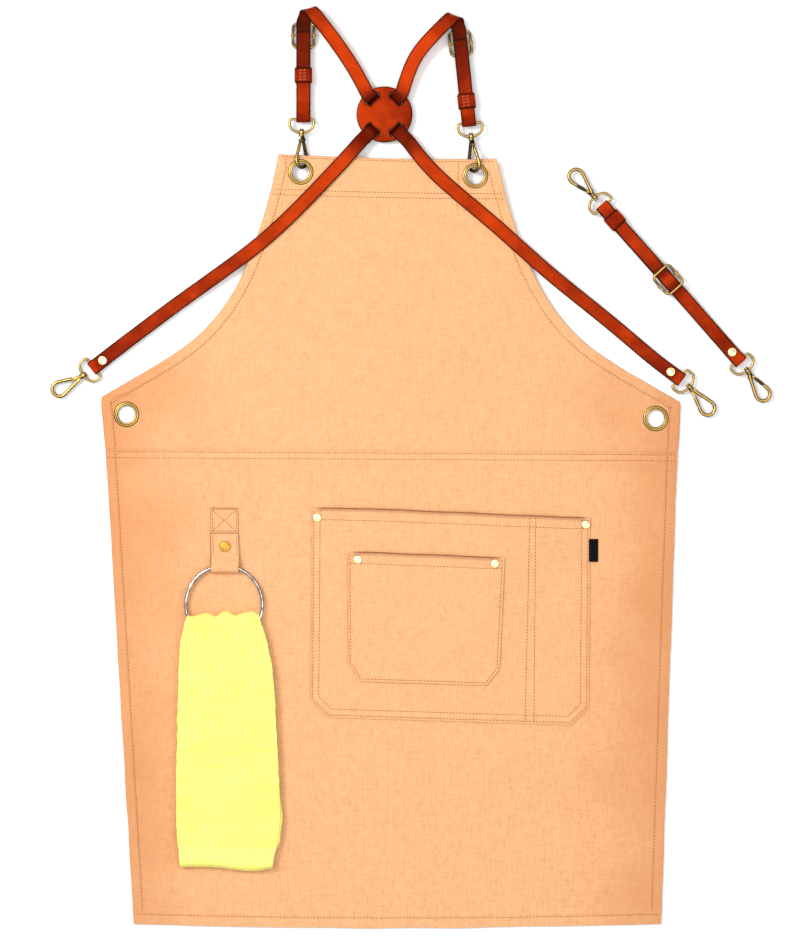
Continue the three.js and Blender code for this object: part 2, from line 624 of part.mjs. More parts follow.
function backStrap(name, start, out) {
  const { end, towards, bends } = backRoutes[name];
  const rivet = vec(...end, LEATHER * 1.5 + GAP + 0.2);
  const along = heading(towards);
  const chord = rivet.clone().sub(start).setZ(0);
  const length = chord.length();
  chord.normalize();
  const from = start.clone().setZ(overDisc);
  const ends = [step(rivet, along, -24), rivet.clone()];
  const flat = [from, step(from, out, 12), ...bends.map(([share, side]) =>
    step(from, chord, share * length, side)), ...ends];
  const overCloth = p => Math.abs(p.x) < clothHalf(p.y) + 22 && p.y < BIB_HEIGHT + 25;
  const stations = alongCurve(flat.map(p => p.clone().setZ(0)), 12);
  const lastOver = stations.reduce((found, { at }, i) => (overCloth(at) ? i : found), 0);
  stations.forEach(({ at }, i) => {
    const clear = THREE.MathUtils.lerp(0.5, 2 * GAP + FLANGE_THICK,
      THREE.MathUtils.smoothstep(at.y, BIB_HEIGHT - 120, BIB_HEIGHT - 60));
    const cloth = overBib([at.x, Math.min(at.y, BIB_HEIGHT)], CLOTH + clear + LEATHER / 2).z;
    if (i <= lastOver) at.z = Math.max(cloth, at.y > BIB_HEIGHT + 2 ? overDisc : 0);
    else at.z = THREE.MathUtils.lerp(cloth, rivet.z, THREE.MathUtils.smoothstep(i, lastOver, lastOver + 8));
  });
  stations[0].at.z = overDisc;
  const across = UP.clone().cross(along);
  const bar = step(rivet, along, RIVET_TO_BAR).setZ(TABLE_Z);
  stations[stations.length - 1].across = across;
  stations.push({ at: step(rivet, along, 5), across });
  stations.push(...foldOver(bar, along, across, 90, -90));
  stations.push({ at: step(rivet, along, 5).setZ(LEATHER / 2 + 0.2), across });
  stations.push({ at: step(rivet, along, RIVET_TO_BAR - FOLD_TAIL).setZ(LEATHER / 2 + 0.2), across });
  return { stations, rivet, bar, along };
}

function strapRivet(name, place, low, top) {
  const shank = RIVET_SHANK;
  const profile = [[0, low], [shank, low], [shank, top + GAP], [RIVET_CAP, top + GAP],
    [RIVET_CAP, top + GAP + RIVET_RISE * 0.5], [RIVET_CAP * 0.7, top + GAP + RIVET_RISE * 0.9],
    [0, top + GAP + RIVET_RISE]];
  add(name, turned(profile, 16), BRIGHT_BRASS).position.set(place.x, place.y, 0);
}

// ---------------------------------------------------------------- keepers and sliders

// Places a shape made along +Y, from the strap's middle, where it sits on a strap.
function onStrap(geometry, centre, along) {
  const basis = new THREE.Matrix4().makeBasis(along.clone().cross(UP), along, UP).setPosition(centre);
  return geometry.applyMatrix4(basis);
}

function addKeeper(name, centre, along, low, high) {
  const half = STRAP / 2 + 2 * GAP;
  const outer = box([-half - KEEPER_WALL, -KEEPER_LONG / 2, low - KEEPER_WALL],
    [half + KEEPER_WALL, KEEPER_LONG / 2, high + KEEPER_WALL]);
  const inner = box([-half, -KEEPER_LONG, low], [half, KEEPER_LONG, high]);
  add(name, onStrap(cut(outer, inner), centre.clone().setZ(0), along), TAN_LEATHER);
}

// The frame's end bars lie on one face of the strap and its centre bar on the other, so its rails arch.
function addSlider(name, centre, along, endZ, middleZ) {
  const [across, half] = SLIDER_HALF;
  const points = [];
  for (const [quarter, sideX, sideY] of [[0, 1, 1], [1, -1, 1], [2, -1, -1], [3, 1, -1]]) {
    for (let i = 0; i <= 3; i += 1) {
      const turn = (quarter + i / 3) * Math.PI / 2;
      points.push([sideX * (across - SLIDER_CORNER) + SLIDER_CORNER * Math.cos(turn),
        sideY * (half - SLIDER_CORNER) + SLIDER_CORNER * Math.sin(turn)]);
    }
    if (quarter === 0) points.push([0, half]);
    if (quarter === 2) points.push([0, -half]);
    if (quarter % 2 === 1) for (const y of [0.35, 0, -0.35]) points.push([sideX * across, -sideX * y * half]);
  }
  const order = points.map(([x, y]) => vec(x, y, THREE.MathUtils.lerp(endZ, middleZ,
    Math.cos(Math.PI * y / (2 * half)) ** 2)));
  const knobs = [-1, 1].map(side =>
    new THREE.SphereGeometry(SLIDER_KNOB, 10, 6).translate(side * across, 0, middleZ));
  const frame = join(wireRing(order, SLIDER_WIRE, 6), ...knobs);
  add(`${name}_frame`, onStrap(frame, centre.clone().setZ(0), along), BRASS);
  const reach = across - SLIDER_KNOB - GAP;
  add(`${name}_bar`, onStrap(rod(SLIDER_BAR, vec(-reach, 0, middleZ), vec(reach, 0, middleZ), 10),
    centre.clone().setZ(0), along), BRASS);
}

// ---------------------------------------------------------------- D-rings and hooks

// Made with the D-ring's boss or the hook's swivel at the origin and the hook's axis along +X.
const dRing = () => {
  const corner = 2;
  const loop = [[-D_HALF + corner, 0], [D_HALF - corner, 0]];
  for (const turn of [-45, 0]) loop.push([D_HALF - corner + corner * Math.cos(THREE.MathUtils.degToRad(turn)),
    corner + corner * Math.sin(THREE.MathUtils.degToRad(turn))]);
  const upper = [];
  for (let i = 1; i < 12; i += 1) {
    const turn = i / 12 * Math.PI;
    const share = f => Math.sign(f) * Math.abs(f) ** 0.85;
    upper.push([D_HALF * share(Math.cos(turn)), corner + (D_DEPTH - corner) * share(Math.sin(turn))]);
  }
  loop.push(...upper, [-D_HALF, corner], [-D_HALF + corner * 0.29, corner * 0.29]);
  const ring = wireRing(loop.map(([a, s]) => vec(s - D_DEPTH, a)), D_WIRE, 6);
  const [bossRadius, bossLength] = D_BOSS;
  const boss = rod(bossRadius, vec(-bossLength / 2, 0), vec(bossLength / 2, 0), 14);
  return cut(join(ring, boss), rod(POST + GAP, vec(-bossLength, 0), vec(bossLength, 0), 12));
};

const flare = THREE.MathUtils.degToRad(HOOK_FLARE);
const armOut = vec(Math.cos(flare), Math.sin(flare));

function hookBody() {
  const clear = D_BOSS[1] / 2 + GAP;
  const half = HOOK_SECTION / 2;
  const stem = join(
    rod(KNOB[0], vec(-clear - KNOB[1], 0), vec(-clear, 0), 12),
    rod(POST, vec(-clear - 0.5, 0), vec(clear + 0.5, 0), 12),
    rod(COLLAR[0], vec(clear, 0), vec(clear + COLLAR[1], 0), 12),
    box([clear + COLLAR[1] - 0.5, -3.2, -half], [HOOK_BASE + 0.5, 2.6, half]),
  );

  // The J: one arm, the round end and the nose, as a middle line with its outward normal.
  const middle = [];
  const along = (x, y, normal) => middle.push({ x, y, normal });
  const armNormal = vec(-Math.sin(flare), -Math.cos(flare));
  const baseHalf = (HOOK_RADIUS - (HOOK_REACH - HOOK_BASE) * Math.sin(flare)) / Math.cos(flare);
  along(HOOK_BASE - 1.5, -baseHalf + 1.5 * Math.tan(flare), armNormal);
  const sweepHalf = Math.PI / 2 + flare;
  for (let i = 0; i <= 16; i += 1) {
    const turn = THREE.MathUtils.lerp(-sweepHalf, sweepHalf, i / 16);
    const normal = vec(Math.cos(turn), Math.sin(turn));
    along(HOOK_REACH + HOOK_RADIUS * normal.x, HOOK_RADIUS * normal.y, normal);
  }
  const last = middle[middle.length - 1];
  along(last.x - HOOK_NOSE * armOut.x, last.y - HOOK_NOSE * armOut.y, last.normal);
  const outline = [
    ...middle.map(p => [p.x + half * p.normal.x, p.y + half * p.normal.y]),
    ...middle.map(p => [p.x - half * p.normal.x, p.y - half * p.normal.y]).reverse(),
  ];
  const shape = new THREE.Shape(outline.map(([x, y]) => new THREE.Vector2(x, y)));
  const hook = new THREE.ExtrudeGeometry(shape, { depth: HOOK_SECTION - 2 * HOOK_CHAMFER, bevelEnabled: true,
    bevelThickness: HOOK_CHAMFER, bevelSize: HOOK_CHAMFER, bevelOffset: -HOOK_CHAMFER, bevelSegments: 1 })
    .translate(0, 0, HOOK_CHAMFER - half);

  const [pinX, pinY] = GATE_PIN;
  const cheeks = rod(2.7, vec(pinX, pinY, -half), vec(pinX, pinY, half), 14);
  const mouth = box([pinX - 2.9, pinY - 2.4, -1.05], [pinX + 5, pinY + 5, 1.05]);
  const pin = rod(0.9, vec(pinX, pinY, -half + 0.2), vec(pinX, pinY, half - 0.2), 8);
  return join(cut(join(stem, hook, cheeks), mouth), pin);
}

const noseTip = vec(HOOK_REACH - HOOK_RADIUS * Math.sin(flare), HOOK_RADIUS * Math.cos(flare))
  .addScaledVector(armOut, -HOOK_NOSE);
function hookGate() {
  const pin = vec(...GATE_PIN);
  const along = noseTip.clone().sub(pin);
  const length = along.length() - GAP;
  const half = GATE_WIDTH / 2;
  const tongue = join(rod(2.1, vec(0, 0, -0.7), vec(0, 0, 0.7), 12), box([0, -1.5, -0.7], [4.5, 1.5, 0.7]));
  const bar = box([3.4, -half, -half], [length, half, half]);
  const gate = cut(join(tongue, bar), rod(0.9 + GAP, vec(0, 0, -1), vec(0, 0, 1), 10));
  return gate.rotateZ(Math.atan2(along.y, along.x)).translate(pin.x, pin.y, 0);
}

function addHardware(name, bar, direction, rollDegrees) {
  const boss = step(bar, direction, D_DEPTH);
  const flat = new THREE.Matrix4().makeBasis(direction, leftOf(direction), UP).setPosition(boss);
  const rolled = flat.clone().multiply(new THREE.Matrix4().makeRotationX(THREE.MathUtils.degToRad(rollDegrees)));
  add(`${name}_d_ring`, dRing().applyMatrix4(flat), BRASS);
  add(`${name}_hook`, hookBody().applyMatrix4(rolled), BRASS);
  add(`${name}_gate`, hookGate().applyMatrix4(rolled), BRASS);
}

// ---------------------------------------------------------------- the whole harness and the extension strap

function addDisc() {
  const disc = rod(DISC_RADIUS, discMiddle.clone().setZ(discLow), discMiddle.clone().setZ(discTop), 40);
  const slots = [[-1, 1], [1, 1], [-1, -1], [1, -1]].map(([sideX, sideY]) => {
    const slot = box([-STRAP / 2 - 3 * GAP, -SLOT_GAP / 2, discLow - 1],
      [STRAP / 2 + 3 * GAP, SLOT_GAP / 2, discTop + 1]);
    return onStrap(slot, slotAt(sideX, sideY), slotRun(sideX, sideY));
  });
  add('cross_disc', cut(disc, ...slots), TAN_LEATHER);
}

function addHarness() {
  addDisc();
  for (const name of ['left', 'right']) {
    const { keeper, slider } = uprights[name];
    const { along, bar, strapBar } = uprightFrame(name);
    const { stations, end, out } = shoulderStrap(name);
    add(`${name}_shoulder_strap`, ribbon(stations, STRAP, LEATHER), TAN_LEATHER);
    addKeeper(`${name}_keeper`, step(strapBar, along, keeper), along, longZ - LEATHER / 2 - 2 * GAP,
      returnZ + LEATHER / 2 + 2 * GAP);
    addSlider(`${name}_slider`, step(strapBar, along, slider), along, SLIDER_WIRE + 0.2, barOverZ);
    addHardware(`${name}_bib`, bar, along.clone().negate(), name === 'left' ? 135 : 45);

    const other = name === 'left' ? 'right' : 'left';
    const back = backStrap(other, step(end, out, GAP), out);
    const hole = rod(RIVET_SHANK + GAP, vec(back.rivet.x, back.rivet.y, -1),
      vec(back.rivet.x, back.rivet.y, 9), 10);
    add(`${other}_back_strap`, cut(ribbon(back.stations, STRAP, LEATHER), hole), TAN_LEATHER);
    strapRivet(`${other}_strap_rivet`, back.rivet, GAP, back.rivet.z + LEATHER / 2);
    addHardware(`${other}_waist`, back.bar, back.along, 180);
  }
}

// The loose strap lies front up: its return layer is underneath.
const EXTENSION_BAR = [WAIST_HALF - 91.8, WAIST_RISE + 226.8];
const EXTENSION_TOWARDS = -48.4;
const EXTENSION = { keeper: 20.7, slider: 114.4, rivet: 227.9 };
const EXTENSION_LIFT = KEEPER_WALL + 2 * GAP;

function addExtension() {
  const along = heading(EXTENSION_TOWARDS);
  const across = UP.clone().cross(along);
  const lowZ = EXTENSION_LIFT + 0.2 + LEATHER / 2;
  const bar = vec(...EXTENSION_BAR, lowZ + foldRadius);
  const underBar = lowZ + LEATHER / 2 + GAP + SLIDER_BAR;
  const topZ = underBar + SLIDER_BAR + GAP + LEATHER / 2;
  const endBars = topZ + LEATHER / 2 + GAP + SLIDER_WIRE;
  const { keeper, slider, rivet } = EXTENSION;
  const level = (distance, z) => ({ at: step(bar, along, distance).setZ(z), across });
  const farBar = step(bar, along, rivet + RIVET_TO_BAR).setZ(TABLE_Z);
  const rivetZ = LEATHER * 1.5 + GAP + 0.2;
  const stations = [level(slider + 16, lowZ), level(slider - 20, lowZ), level(6, lowZ)];
  stations.push(...foldOver(bar, along.clone().negate(), across, -90, 90));
  stations.push(level(6, bar.z + foldRadius), level(12, topZ), level(slider - 20, topZ), level(slider + 30, topZ));
  const dip = Array.from({ length: 7 }, (_, i) => {
    const share = (i + 1) / 7;
    return level(THREE.MathUtils.lerp(slider + 30, rivet - 14, share),
      THREE.MathUtils.lerp(topZ, rivetZ, THREE.MathUtils.smoothstep(share, 0, 1)));
  });
  stations.push(...dip, level(rivet, rivetZ), level(rivet + 5, rivetZ));
  stations.push(...foldOver(farBar, along, across, 90, -90));
  const tailZ = LEATHER / 2 + 0.2;
  stations.push(level(rivet + 5, tailZ), level(rivet + RIVET_TO_BAR - FOLD_TAIL, tailZ));

  const rivetAt = step(bar, along, rivet);
  const hole = rod(RIVET_SHANK + GAP, rivetAt.clone().setZ(-1), rivetAt.clone().setZ(9), 10);
  add('extension_strap', cut(ribbon(stations, STRAP, LEATHER), hole), TAN_LEATHER);
  strapRivet('extension_rivet', rivetAt, GAP, rivetZ + LEATHER / 2);
  addKeeper('extension_keeper', step(bar, along, keeper), along, lowZ - LEATHER / 2 - 2 * GAP,
    topZ + LEATHER / 2 + 2 * GAP);
  addSlider('extension_slider', step(bar, along, slider), along, endBars, underBar);
  addHardware('extension_upper', bar, along.clone().negate(), 0);
  addHardware('extension_lower', farBar, along, 0);
}

addSkirt();
addBib();
addEyelets();
addPockets();
addTowelSide();
addHarness();
addExtension();

export default apron;
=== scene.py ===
# A cross-back butcher's apron laid flat: cloth, pockets, a towel in its ring, a leather harness
# and a loose strap.
# Lengths are millimetres from the middle of the waist seam; make() turns them into the frame's metres.

from math import atan2, ceil, cos, exp, pi, radians, sin, sqrt

import bmesh
import bpy
import numpy as np
from mathutils import Matrix, Vector, noise


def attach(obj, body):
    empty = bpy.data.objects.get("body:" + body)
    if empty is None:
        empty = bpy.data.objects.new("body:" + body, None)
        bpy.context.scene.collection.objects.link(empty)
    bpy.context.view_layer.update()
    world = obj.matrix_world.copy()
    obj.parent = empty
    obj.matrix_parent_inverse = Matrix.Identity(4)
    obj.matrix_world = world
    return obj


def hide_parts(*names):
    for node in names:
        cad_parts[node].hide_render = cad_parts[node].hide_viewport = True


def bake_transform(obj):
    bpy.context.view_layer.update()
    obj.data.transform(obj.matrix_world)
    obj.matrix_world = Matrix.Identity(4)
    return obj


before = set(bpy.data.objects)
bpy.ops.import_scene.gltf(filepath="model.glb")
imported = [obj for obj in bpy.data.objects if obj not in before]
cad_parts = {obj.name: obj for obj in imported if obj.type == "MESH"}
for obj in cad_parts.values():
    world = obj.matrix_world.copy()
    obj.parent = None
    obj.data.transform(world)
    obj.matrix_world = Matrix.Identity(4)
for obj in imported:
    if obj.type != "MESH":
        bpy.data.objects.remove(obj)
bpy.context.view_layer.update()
scene = bpy.context.scene
UP = Vector((0, 0, 1))

# ---------------------------------------------------------------- sizes shared with the solids

SEAM_AT = 108  # the waist seam, from the frame's origin
GAP = 0.3
CLOTH = 1.0
SKIRT_DROP, HEM_HALF, SEAM_HALF, HEM_BOW = 556, 310, 336, 5
WAIST_HALF, WAIST_RISE, BIB_HALF, BIB_HEIGHT = 340.5, 59.5, 127.5, 345
SEAM_LAP, FACING_DEPTH = 12, 48
SEWN_AT, THREAD_UP = 11.6, CLOTH + 0.12  # the hem's sewing, in from the edge, and how high it stands
LEAN, SEAM_SLOPE, BIB_SLOPE, BIB_LIFT = 0.0126, 0.006, 0.0225, 8.5
EYELET_BORE, EYELET_FLANGE = 10.2, 15
POCKET_AT, POCKET_HALF, POCKET_DEPTH, POCKET_CHAMFER, POCKET_SLOPE = (70.5, -73.5), 162.4, 244.5, 21, 0.031
SMALL_AT, SMALL_HALF, SMALL_DEPTH, SMALL_CHAMFER = (42.7, -122.3), 90, 151, 14.2
DIVIDER_AT = 95.5
TAB_AT, TAB_WIDTH, TAB_REACH, TAB_LOOP, TAB_RIVET_DOWN = (-196.5, -67), 32.5, 71.3, 3.9, 46.4
RING_RADIUS, RING_WIRE, RING_HANG, RING_TILT = 45, 2.0, 1.5, 2.6
STRAP, LEATHER = 16.5, 2.2
DISC_RADIUS, DISC_THICK, DISC_AT, SLOT_OFF, SLOT_TURN, SLOT_GAP = 32.9, 2.3, (-8.2, 49.9), (14, 18.3), 42, 5.6
KEEPER_LONG, FOLD_TAIL, RIVET_TO_BAR = 18, 20, 13
SLIDER_HALF, SLIDER_CORNER, SLIDER_WIRE, SLIDER_BAR = (12.3, 14.1), 5, 1.2, 1.0
D_WIRE, D_HALF, D_DEPTH, D_BOSS = 1.4, 14, 15.5, (3.2, 3.4)
HOOK_REACH, HOOK_RADIUS, HOOK_FLARE, HOOK_BASE, HOOK_NOSE, POST = 32.4, 8.5, 15.9, 9, 6, 1.6
GATE_PIN = (9.6, 1.7)
FOLD_RADIUS = D_WIRE + 0.2 + LEATHER / 2
TABLE_Z = FOLD_RADIUS + LEATHER / 2 + 0.2


def lerp(a, b, t):
    return a + (b - a) * t


def clamp(t, low=0.0, high=1.0):
    return max(low, min(high, t))


def smooth(t, low=0.0, high=1.0):
    t = clamp((t - low) / (high - low))
    return t * t * (3 - 2 * t)


def vec(x, y, z=0.0):
    return Vector((x, y, z))


def heading(degrees):
    return vec(cos(radians(degrees)), sin(radians(degrees)))


def left_of(direction):
    return UP.cross(direction).normalized()


def step(start, direction, distance, side=0.0, z=None):
    at = start + direction * distance + left_of(direction) * side
    return at if z is None else vec(at.x, at.y, z)


def hum(x, y, size, seed=0.0):
    """Smooth noise between -1 and 1, with features of about that size."""
    return noise.noise(Vector((x / size, y / size, seed)))


# ---------------------------------------------------------------- shader arithmetic


class Val:
    """One shader socket that can be used in sums."""

    def __init__(self, finish, socket):
        self.finish, self.socket = finish, socket

    def math(self, operation, *others):
        return self.finish.math(operation, self, *others)

    def __add__(self, other):
        return self.math("ADD", other)

    def __sub__(self, other):
        return self.math("SUBTRACT", other)

    def __rsub__(self, other):
        return self.finish.math("SUBTRACT", other, self)

    def __mul__(self, other):
        return self.math("MULTIPLY", other)

    def __truediv__(self, other):
        return self.math("DIVIDE", other)

    __radd__ = __add__
    __rmul__ = __mul__

    def sine(self):
        return self.math("SINE")

    def size(self):
        return self.math("ABSOLUTE")

    def least(self, other):
        return self.math("MINIMUM", other)

    def most(self, other):
        return self.math("MAXIMUM", other)

    def power(self, other):
        return self.math("POWER", other)

    def ease(self, low, high, start=0.0, end=1.0):
        node = self.finish.node("ShaderNodeMapRange", interpolation_type="SMOOTHSTEP")
        for key, value in zip((0, 1, 2, 3, 4), (self, low, high, start, end)):
            self.finish.link(value, node.inputs[key])
        return Val(self.finish, node.outputs[0])


class Finish:
    """A procedural material on the surface's own coordinates, in millimetres."""

    def __init__(self, name, roughness=0.5, metallic=0.0, **uniform):
        self.material = bpy.data.materials.new(name)
        self.material.use_nodes = True
        self.tree = self.material.node_tree
        self.shader = self.tree.nodes["Principled BSDF"]
        self.shader.inputs["Roughness"].default_value = roughness
        self.shader.inputs["Metallic"].default_value = metallic
        for key, value in uniform.items():
            self.shader.inputs[key.replace("_", " ")].default_value = value
        place = self.node("ShaderNodeTexCoord").outputs["Object"]
        self.place = self.stretch(1000, 1000, 1000, place)
        split = self.node("ShaderNodeSeparateXYZ")
        self.link(self.place, split.inputs[0])
        self.x, self.y, self.z = (Val(self, output) for output in split.outputs)

    def node(self, kind, **settings):
        made = self.tree.nodes.new(kind)
        for key, value in settings.items():
            setattr(made, key, value)
        return made

    def link(self, value, socket):
        value = value.socket if isinstance(value, Val) else value
        if isinstance(value, bpy.types.NodeSocket):
            self.tree.links.new(value, socket)
        else:
            socket.default_value = value

    def math(self, operation, *values):
        node = self.node("ShaderNodeMath", operation=operation)
        for value, socket in zip(values, node.inputs):
            self.link(value, socket)
        return Val(self, node.outputs[0])

    def stretch(self, x, y, z, place=None):
        node = self.node("ShaderNodeVectorMath", operation="MULTIPLY")
        self.link(place or self.place, node.inputs[0])
        node.inputs[1].default_value = (x, y, z)
        return node.outputs[0]

    def noise(self, size, detail=2.0, rough=0.5, along=(1, 1, 1)):
        node = self.node("ShaderNodeTexNoise")
        self.link(self.stretch(*along), node.inputs["Vector"])
        self.link(1 / size, node.inputs["Scale"])
        self.link(detail, node.inputs["Detail"])
        self.link(rough, node.inputs["Roughness"])
        return Val(self, node.outputs["Fac"])

    def cells(self, size):
        node = self.node("ShaderNodeTexVoronoi", feature="F1")
        self.link(self.place, node.inputs["Vector"])
        self.link(1 / size, node.inputs["Scale"])
        return Val(self, node.outputs["Distance"])

    def attribute(self, name):
        return Val(self, self.node("ShaderNodeAttribute", attribute_name=name).outputs["Fac"])

    def facing_up(self):
        split = self.node("ShaderNodeSeparateXYZ")
        self.link(self.node("ShaderNodeNewGeometry").outputs["Normal"], split.inputs[0])
        return Val(self, split.outputs[2])

    def mix(self, a, b, share):
        node = self.node("ShaderNodeMix", data_type="RGBA", clamp_factor=True)
        self.link(share, node.inputs[0])
        self.link(colour(a), node.inputs[6])
        self.link(colour(b), node.inputs[7])
        return Val(self, node.outputs[2])

    def set(self, name, value):
        self.link(value, self.shader.inputs[name])

    def bump(self, height, distance, strength=1.0, under=None):
        node = self.node("ShaderNodeBump")
        self.link(height, node.inputs["Height"])
        node.inputs["Distance"].default_value = distance * 0.001
        node.inputs["Strength"].default_value = strength
        if under:
            self.link(under, node.inputs["Normal"])
        self.link(node.outputs[0], self.shader.inputs["Normal"])
        return node.outputs[0]


def colour(value):
    """A display colour of three numbers from 0 to 255 as a linear one; sockets pass through."""
    if isinstance(value, (Val, bpy.types.NodeSocket)):
        return value
    linear = [(v / 255 / 12.92 if v <= 10 else ((v / 255 + 0.055) / 1.055) ** 2.4) for v in value]
    return (*linear, 1.0)


# ---------------------------------------------------------------- materials


def canvas_finish(name):
    f = Finish(name, roughness=0.94, Sheen_Weight=0.05, Sheen_Roughness=0.5)
    f.shader.inputs["Specular IOR Level"].default_value = 0.12
    drift = f.noise(9, 2) - 0.5
    warp = ((f.x + drift * 0.5) * (pi / 0.82)).sine()
    weft = ((f.y + drift * 0.5) * (pi / 0.74)).sine()
    over = (warp * weft * 4).least(1.0).most(-1.0) * 0.5 + 0.5
    weave = warp.size() * over + weft.size() * (1 - over)
    yarn_a = f.noise(1.5, 2, 0.6, (1.1, 0.09, 1))
    yarn_b = f.noise(1.5, 2, 0.6, (0.09, 1.1, 1))
    speck = f.noise(2.4, 3, 0.7)
    mottle = f.noise(9, 2, 0.6)
    cloud = f.noise(110, 2, 0.5)
    edge = f.attribute("edge")
    tint = speck * 0.34 + mottle * 0.16 + yarn_a * 0.28 + yarn_b * 0.22
    body = f.mix((226, 162, 111), (244, 186, 136), tint.ease(0.34, 0.58))
    # painted shade: the cloth is darkened towards its left and right sides, where the light falls off, mixed
    # with a broad random cloud
    sides = (f.x.size() / 330).power(3) + (cloud - 0.5) * 0.9
    side_shaded = f.mix(body, (214, 142, 92), sides.ease(0.05, 1.2) * 0.78)
    woven = f.mix(side_shaded, (186, 116, 66), (1 - weave).ease(0.55, 1.0) * 0.3)
    flecked = f.mix(woven, (160, 92, 48), f.noise(2.1, 2, 0.7).ease(0.68, 0.76) * 0.26)
    # edge darkens the cloth at its cut rims and paints the shadow along the pocket mouths
    f.set("Base Color", f.mix(flecked, (120, 62, 28), edge * 0.9))

    groove = f.attribute("hem")
    stitch = 1 - (groove - SEWN_AT).size().ease(0.3, 2.4)
    fold = 1 - groove.ease(10.2, 14.5)
    pucker = f.noise(6.5, 2, 0.5) * (1 - (groove - 9).size().ease(2.0, 12.0))
    soft = f.noise(95, 2, 0.45) * 4.4 + f.noise(30, 2, 0.5) * 0.7
    broad = f.bump(soft + fold * 0.45 - stitch * 0.75 + pucker * 0.95, 1.0, 0.9)
    f.bump(weave * 0.16 + yarn_a * 0.12 + yarn_b * 0.12 + speck * 0.22 + mottle * 0.15, 1.0, 0.9, broad)
    return f.material


def thread_finish(name, tone, dark):
    f = Finish(name, roughness=0.75)
    twist = ((f.x + f.y) * 5 + f.z * 3).sine()
    f.set("Base Color", f.mix(dark, tone, twist.ease(-1.0, 0.6) * 0.6 + f.noise(6, 1) * 0.5))
    f.bump(twist, 0.05, 0.5)
    return f.material


def leather_finish(name):
    lit, mid, dark = (200, 59, 5), (120, 23, 1), (46, 6, 0)
    f = Finish(name, roughness=0.38, Coat_Weight=0.03, Coat_Roughness=0.22)
    f.shader.inputs["Specular IOR Level"].default_value = 0.09
    f.shader.inputs["Specular Tint"].default_value = colour((255, 150, 80))
    tone, edge = f.attribute("tone"), f.attribute("edge")
    cloud = f.noise(24, 3, 0.55) - 0.5
    pore = f.cells(0.85)
    grain = f.noise(1.7, 4, 0.65)
    # painted light: tone sets how lit each part of the leather is painted, mixing dark, mid and lit copies of
    # one colour; it also carries the darker flesh side
    shade = tone - 0.05 + cloud * 0.6 + (grain - 0.5) * 0.2
    deep = f.mix(dark, mid, shade.ease(0.0, 0.5))
    highlighted = f.mix(deep, lit, shade.ease(0.4, 1.0))
    fleck = f.mix(highlighted, dark, (1 - pore.ease(0.0, 0.34)) * 0.2)
    rubbed = f.mix(fleck, (50, 8, 2), edge.ease(0.02, 0.45) * 0.66)
    f.set("Base Color", f.mix(rubbed, (10, 4, 3), edge.ease(0.3, 0.7)))
    f.set("Roughness", 0.32 + grain * 0.16 + edge * 0.1)
    crease = f.noise(4.2, 3, 0.7)
    f.bump(pore.least(0.4) * 0.22 + grain * 0.14 + crease * 0.2, 0.5, 0.6)
    return f.material


def brass_finish(name, lit, shaded_tone, patina_and_shade, depth, roughness=0.28):
    f = Finish(name, roughness=roughness, metallic=1.0)
    up = f.facing_up()
    cloud = f.noise(3.2, 3, 0.6)
    scratch = f.noise(0.5, 2, 0.7, (1, 0.12, 1))
    # painted shade: surfaces turned away from up are darkened towards patina_and_shade, and the shade
    # attribute adds painted shade; the cloud adds real patina
    patina_and_shade_share = (1 - up.ease(0.3, 0.9)) * depth + cloud.ease(0.5,
                                                          0.72) * depth * 0.3 + f.attribute("shade") * 0.85
    # painted highlight: surfaces facing up are mixed towards the lit colour, along with a random mottle
    metal = f.mix(shaded_tone, lit, cloud.ease(0.3, 0.62) * 0.4 + up.ease(0.7, 1.0) * 0.6)
    f.set("Base Color", f.mix(metal, patina_and_shade, patina_and_shade_share))
    f.set("Roughness", roughness + patina_and_shade_share * 0.25 + scratch * 0.1)
    f.bump(scratch + cloud * 0.6, 0.06, 0.4)
    return f.material


def chrome_finish(name):
    f = Finish(name, roughness=0.09, metallic=1.0)
    haze = f.noise(9, 3, 0.6)
    f.set("Base Color", f.mix((124, 121, 118), (192, 190, 188), haze.ease(0.35, 0.6)))
    f.set("Roughness", 0.05 + haze * 0.1)
    f.bump(f.noise(1.2, 2), 0.02, 0.3)
    return f.material


def terry_finish(name):
    f = Finish(name, roughness=0.95, Sheen_Weight=0.25, Sheen_Roughness=0.45)
    f.shader.inputs["Specular IOR Level"].default_value = 0.08
    band = f.attribute("band")
    loops = f.cells(1.7)
    tuft = f.noise(1.3, 3, 0.7)
    clump = f.noise(7, 3, 0.65)
    patch = f.noise(36, 3, 0.6)
    row = (f.y * (pi / 1.05)).sine().size()
    deep = (loops.ease(0.25, 0.85) * 0.5 + (1 - tuft) * 0.4 + (clump - 0.45) * 0.9) * (1 - band * 0.8)
    shade = deep + (patch - 0.45) * 0.8
    pile = f.mix((250, 247, 144), (247, 236, 100), shade.ease(0.12, 1.1))
    f.set("Base Color", f.mix(pile, (244, 236, 116), band * row * 0.4))
    nap = (1 - loops.ease(0.0, 0.9)) * 1.2 + tuft * 0.9 + clump * 1.2
    broad = f.bump(patch, 4.0, 0.5)
    f.bump(nap * (1 - band * 0.85) + row * band * 0.3, 1.0, 0.6, broad)
    return f.material


def label_finish(name):
    f = Finish(name, roughness=0.85)
    f.shader.inputs["Specular IOR Level"].default_value = 0.1
    rib = (f.y * (pi / 0.35)).sine().size()
    f.set("Base Color", f.mix((5, 5, 6), (20, 19, 20), rib * 0.5 + f.noise(0.8, 2) * 0.5))
    f.bump(rib, 0.1, 0.6)
    return f.material


CANVAS = canvas_finish("canvas")
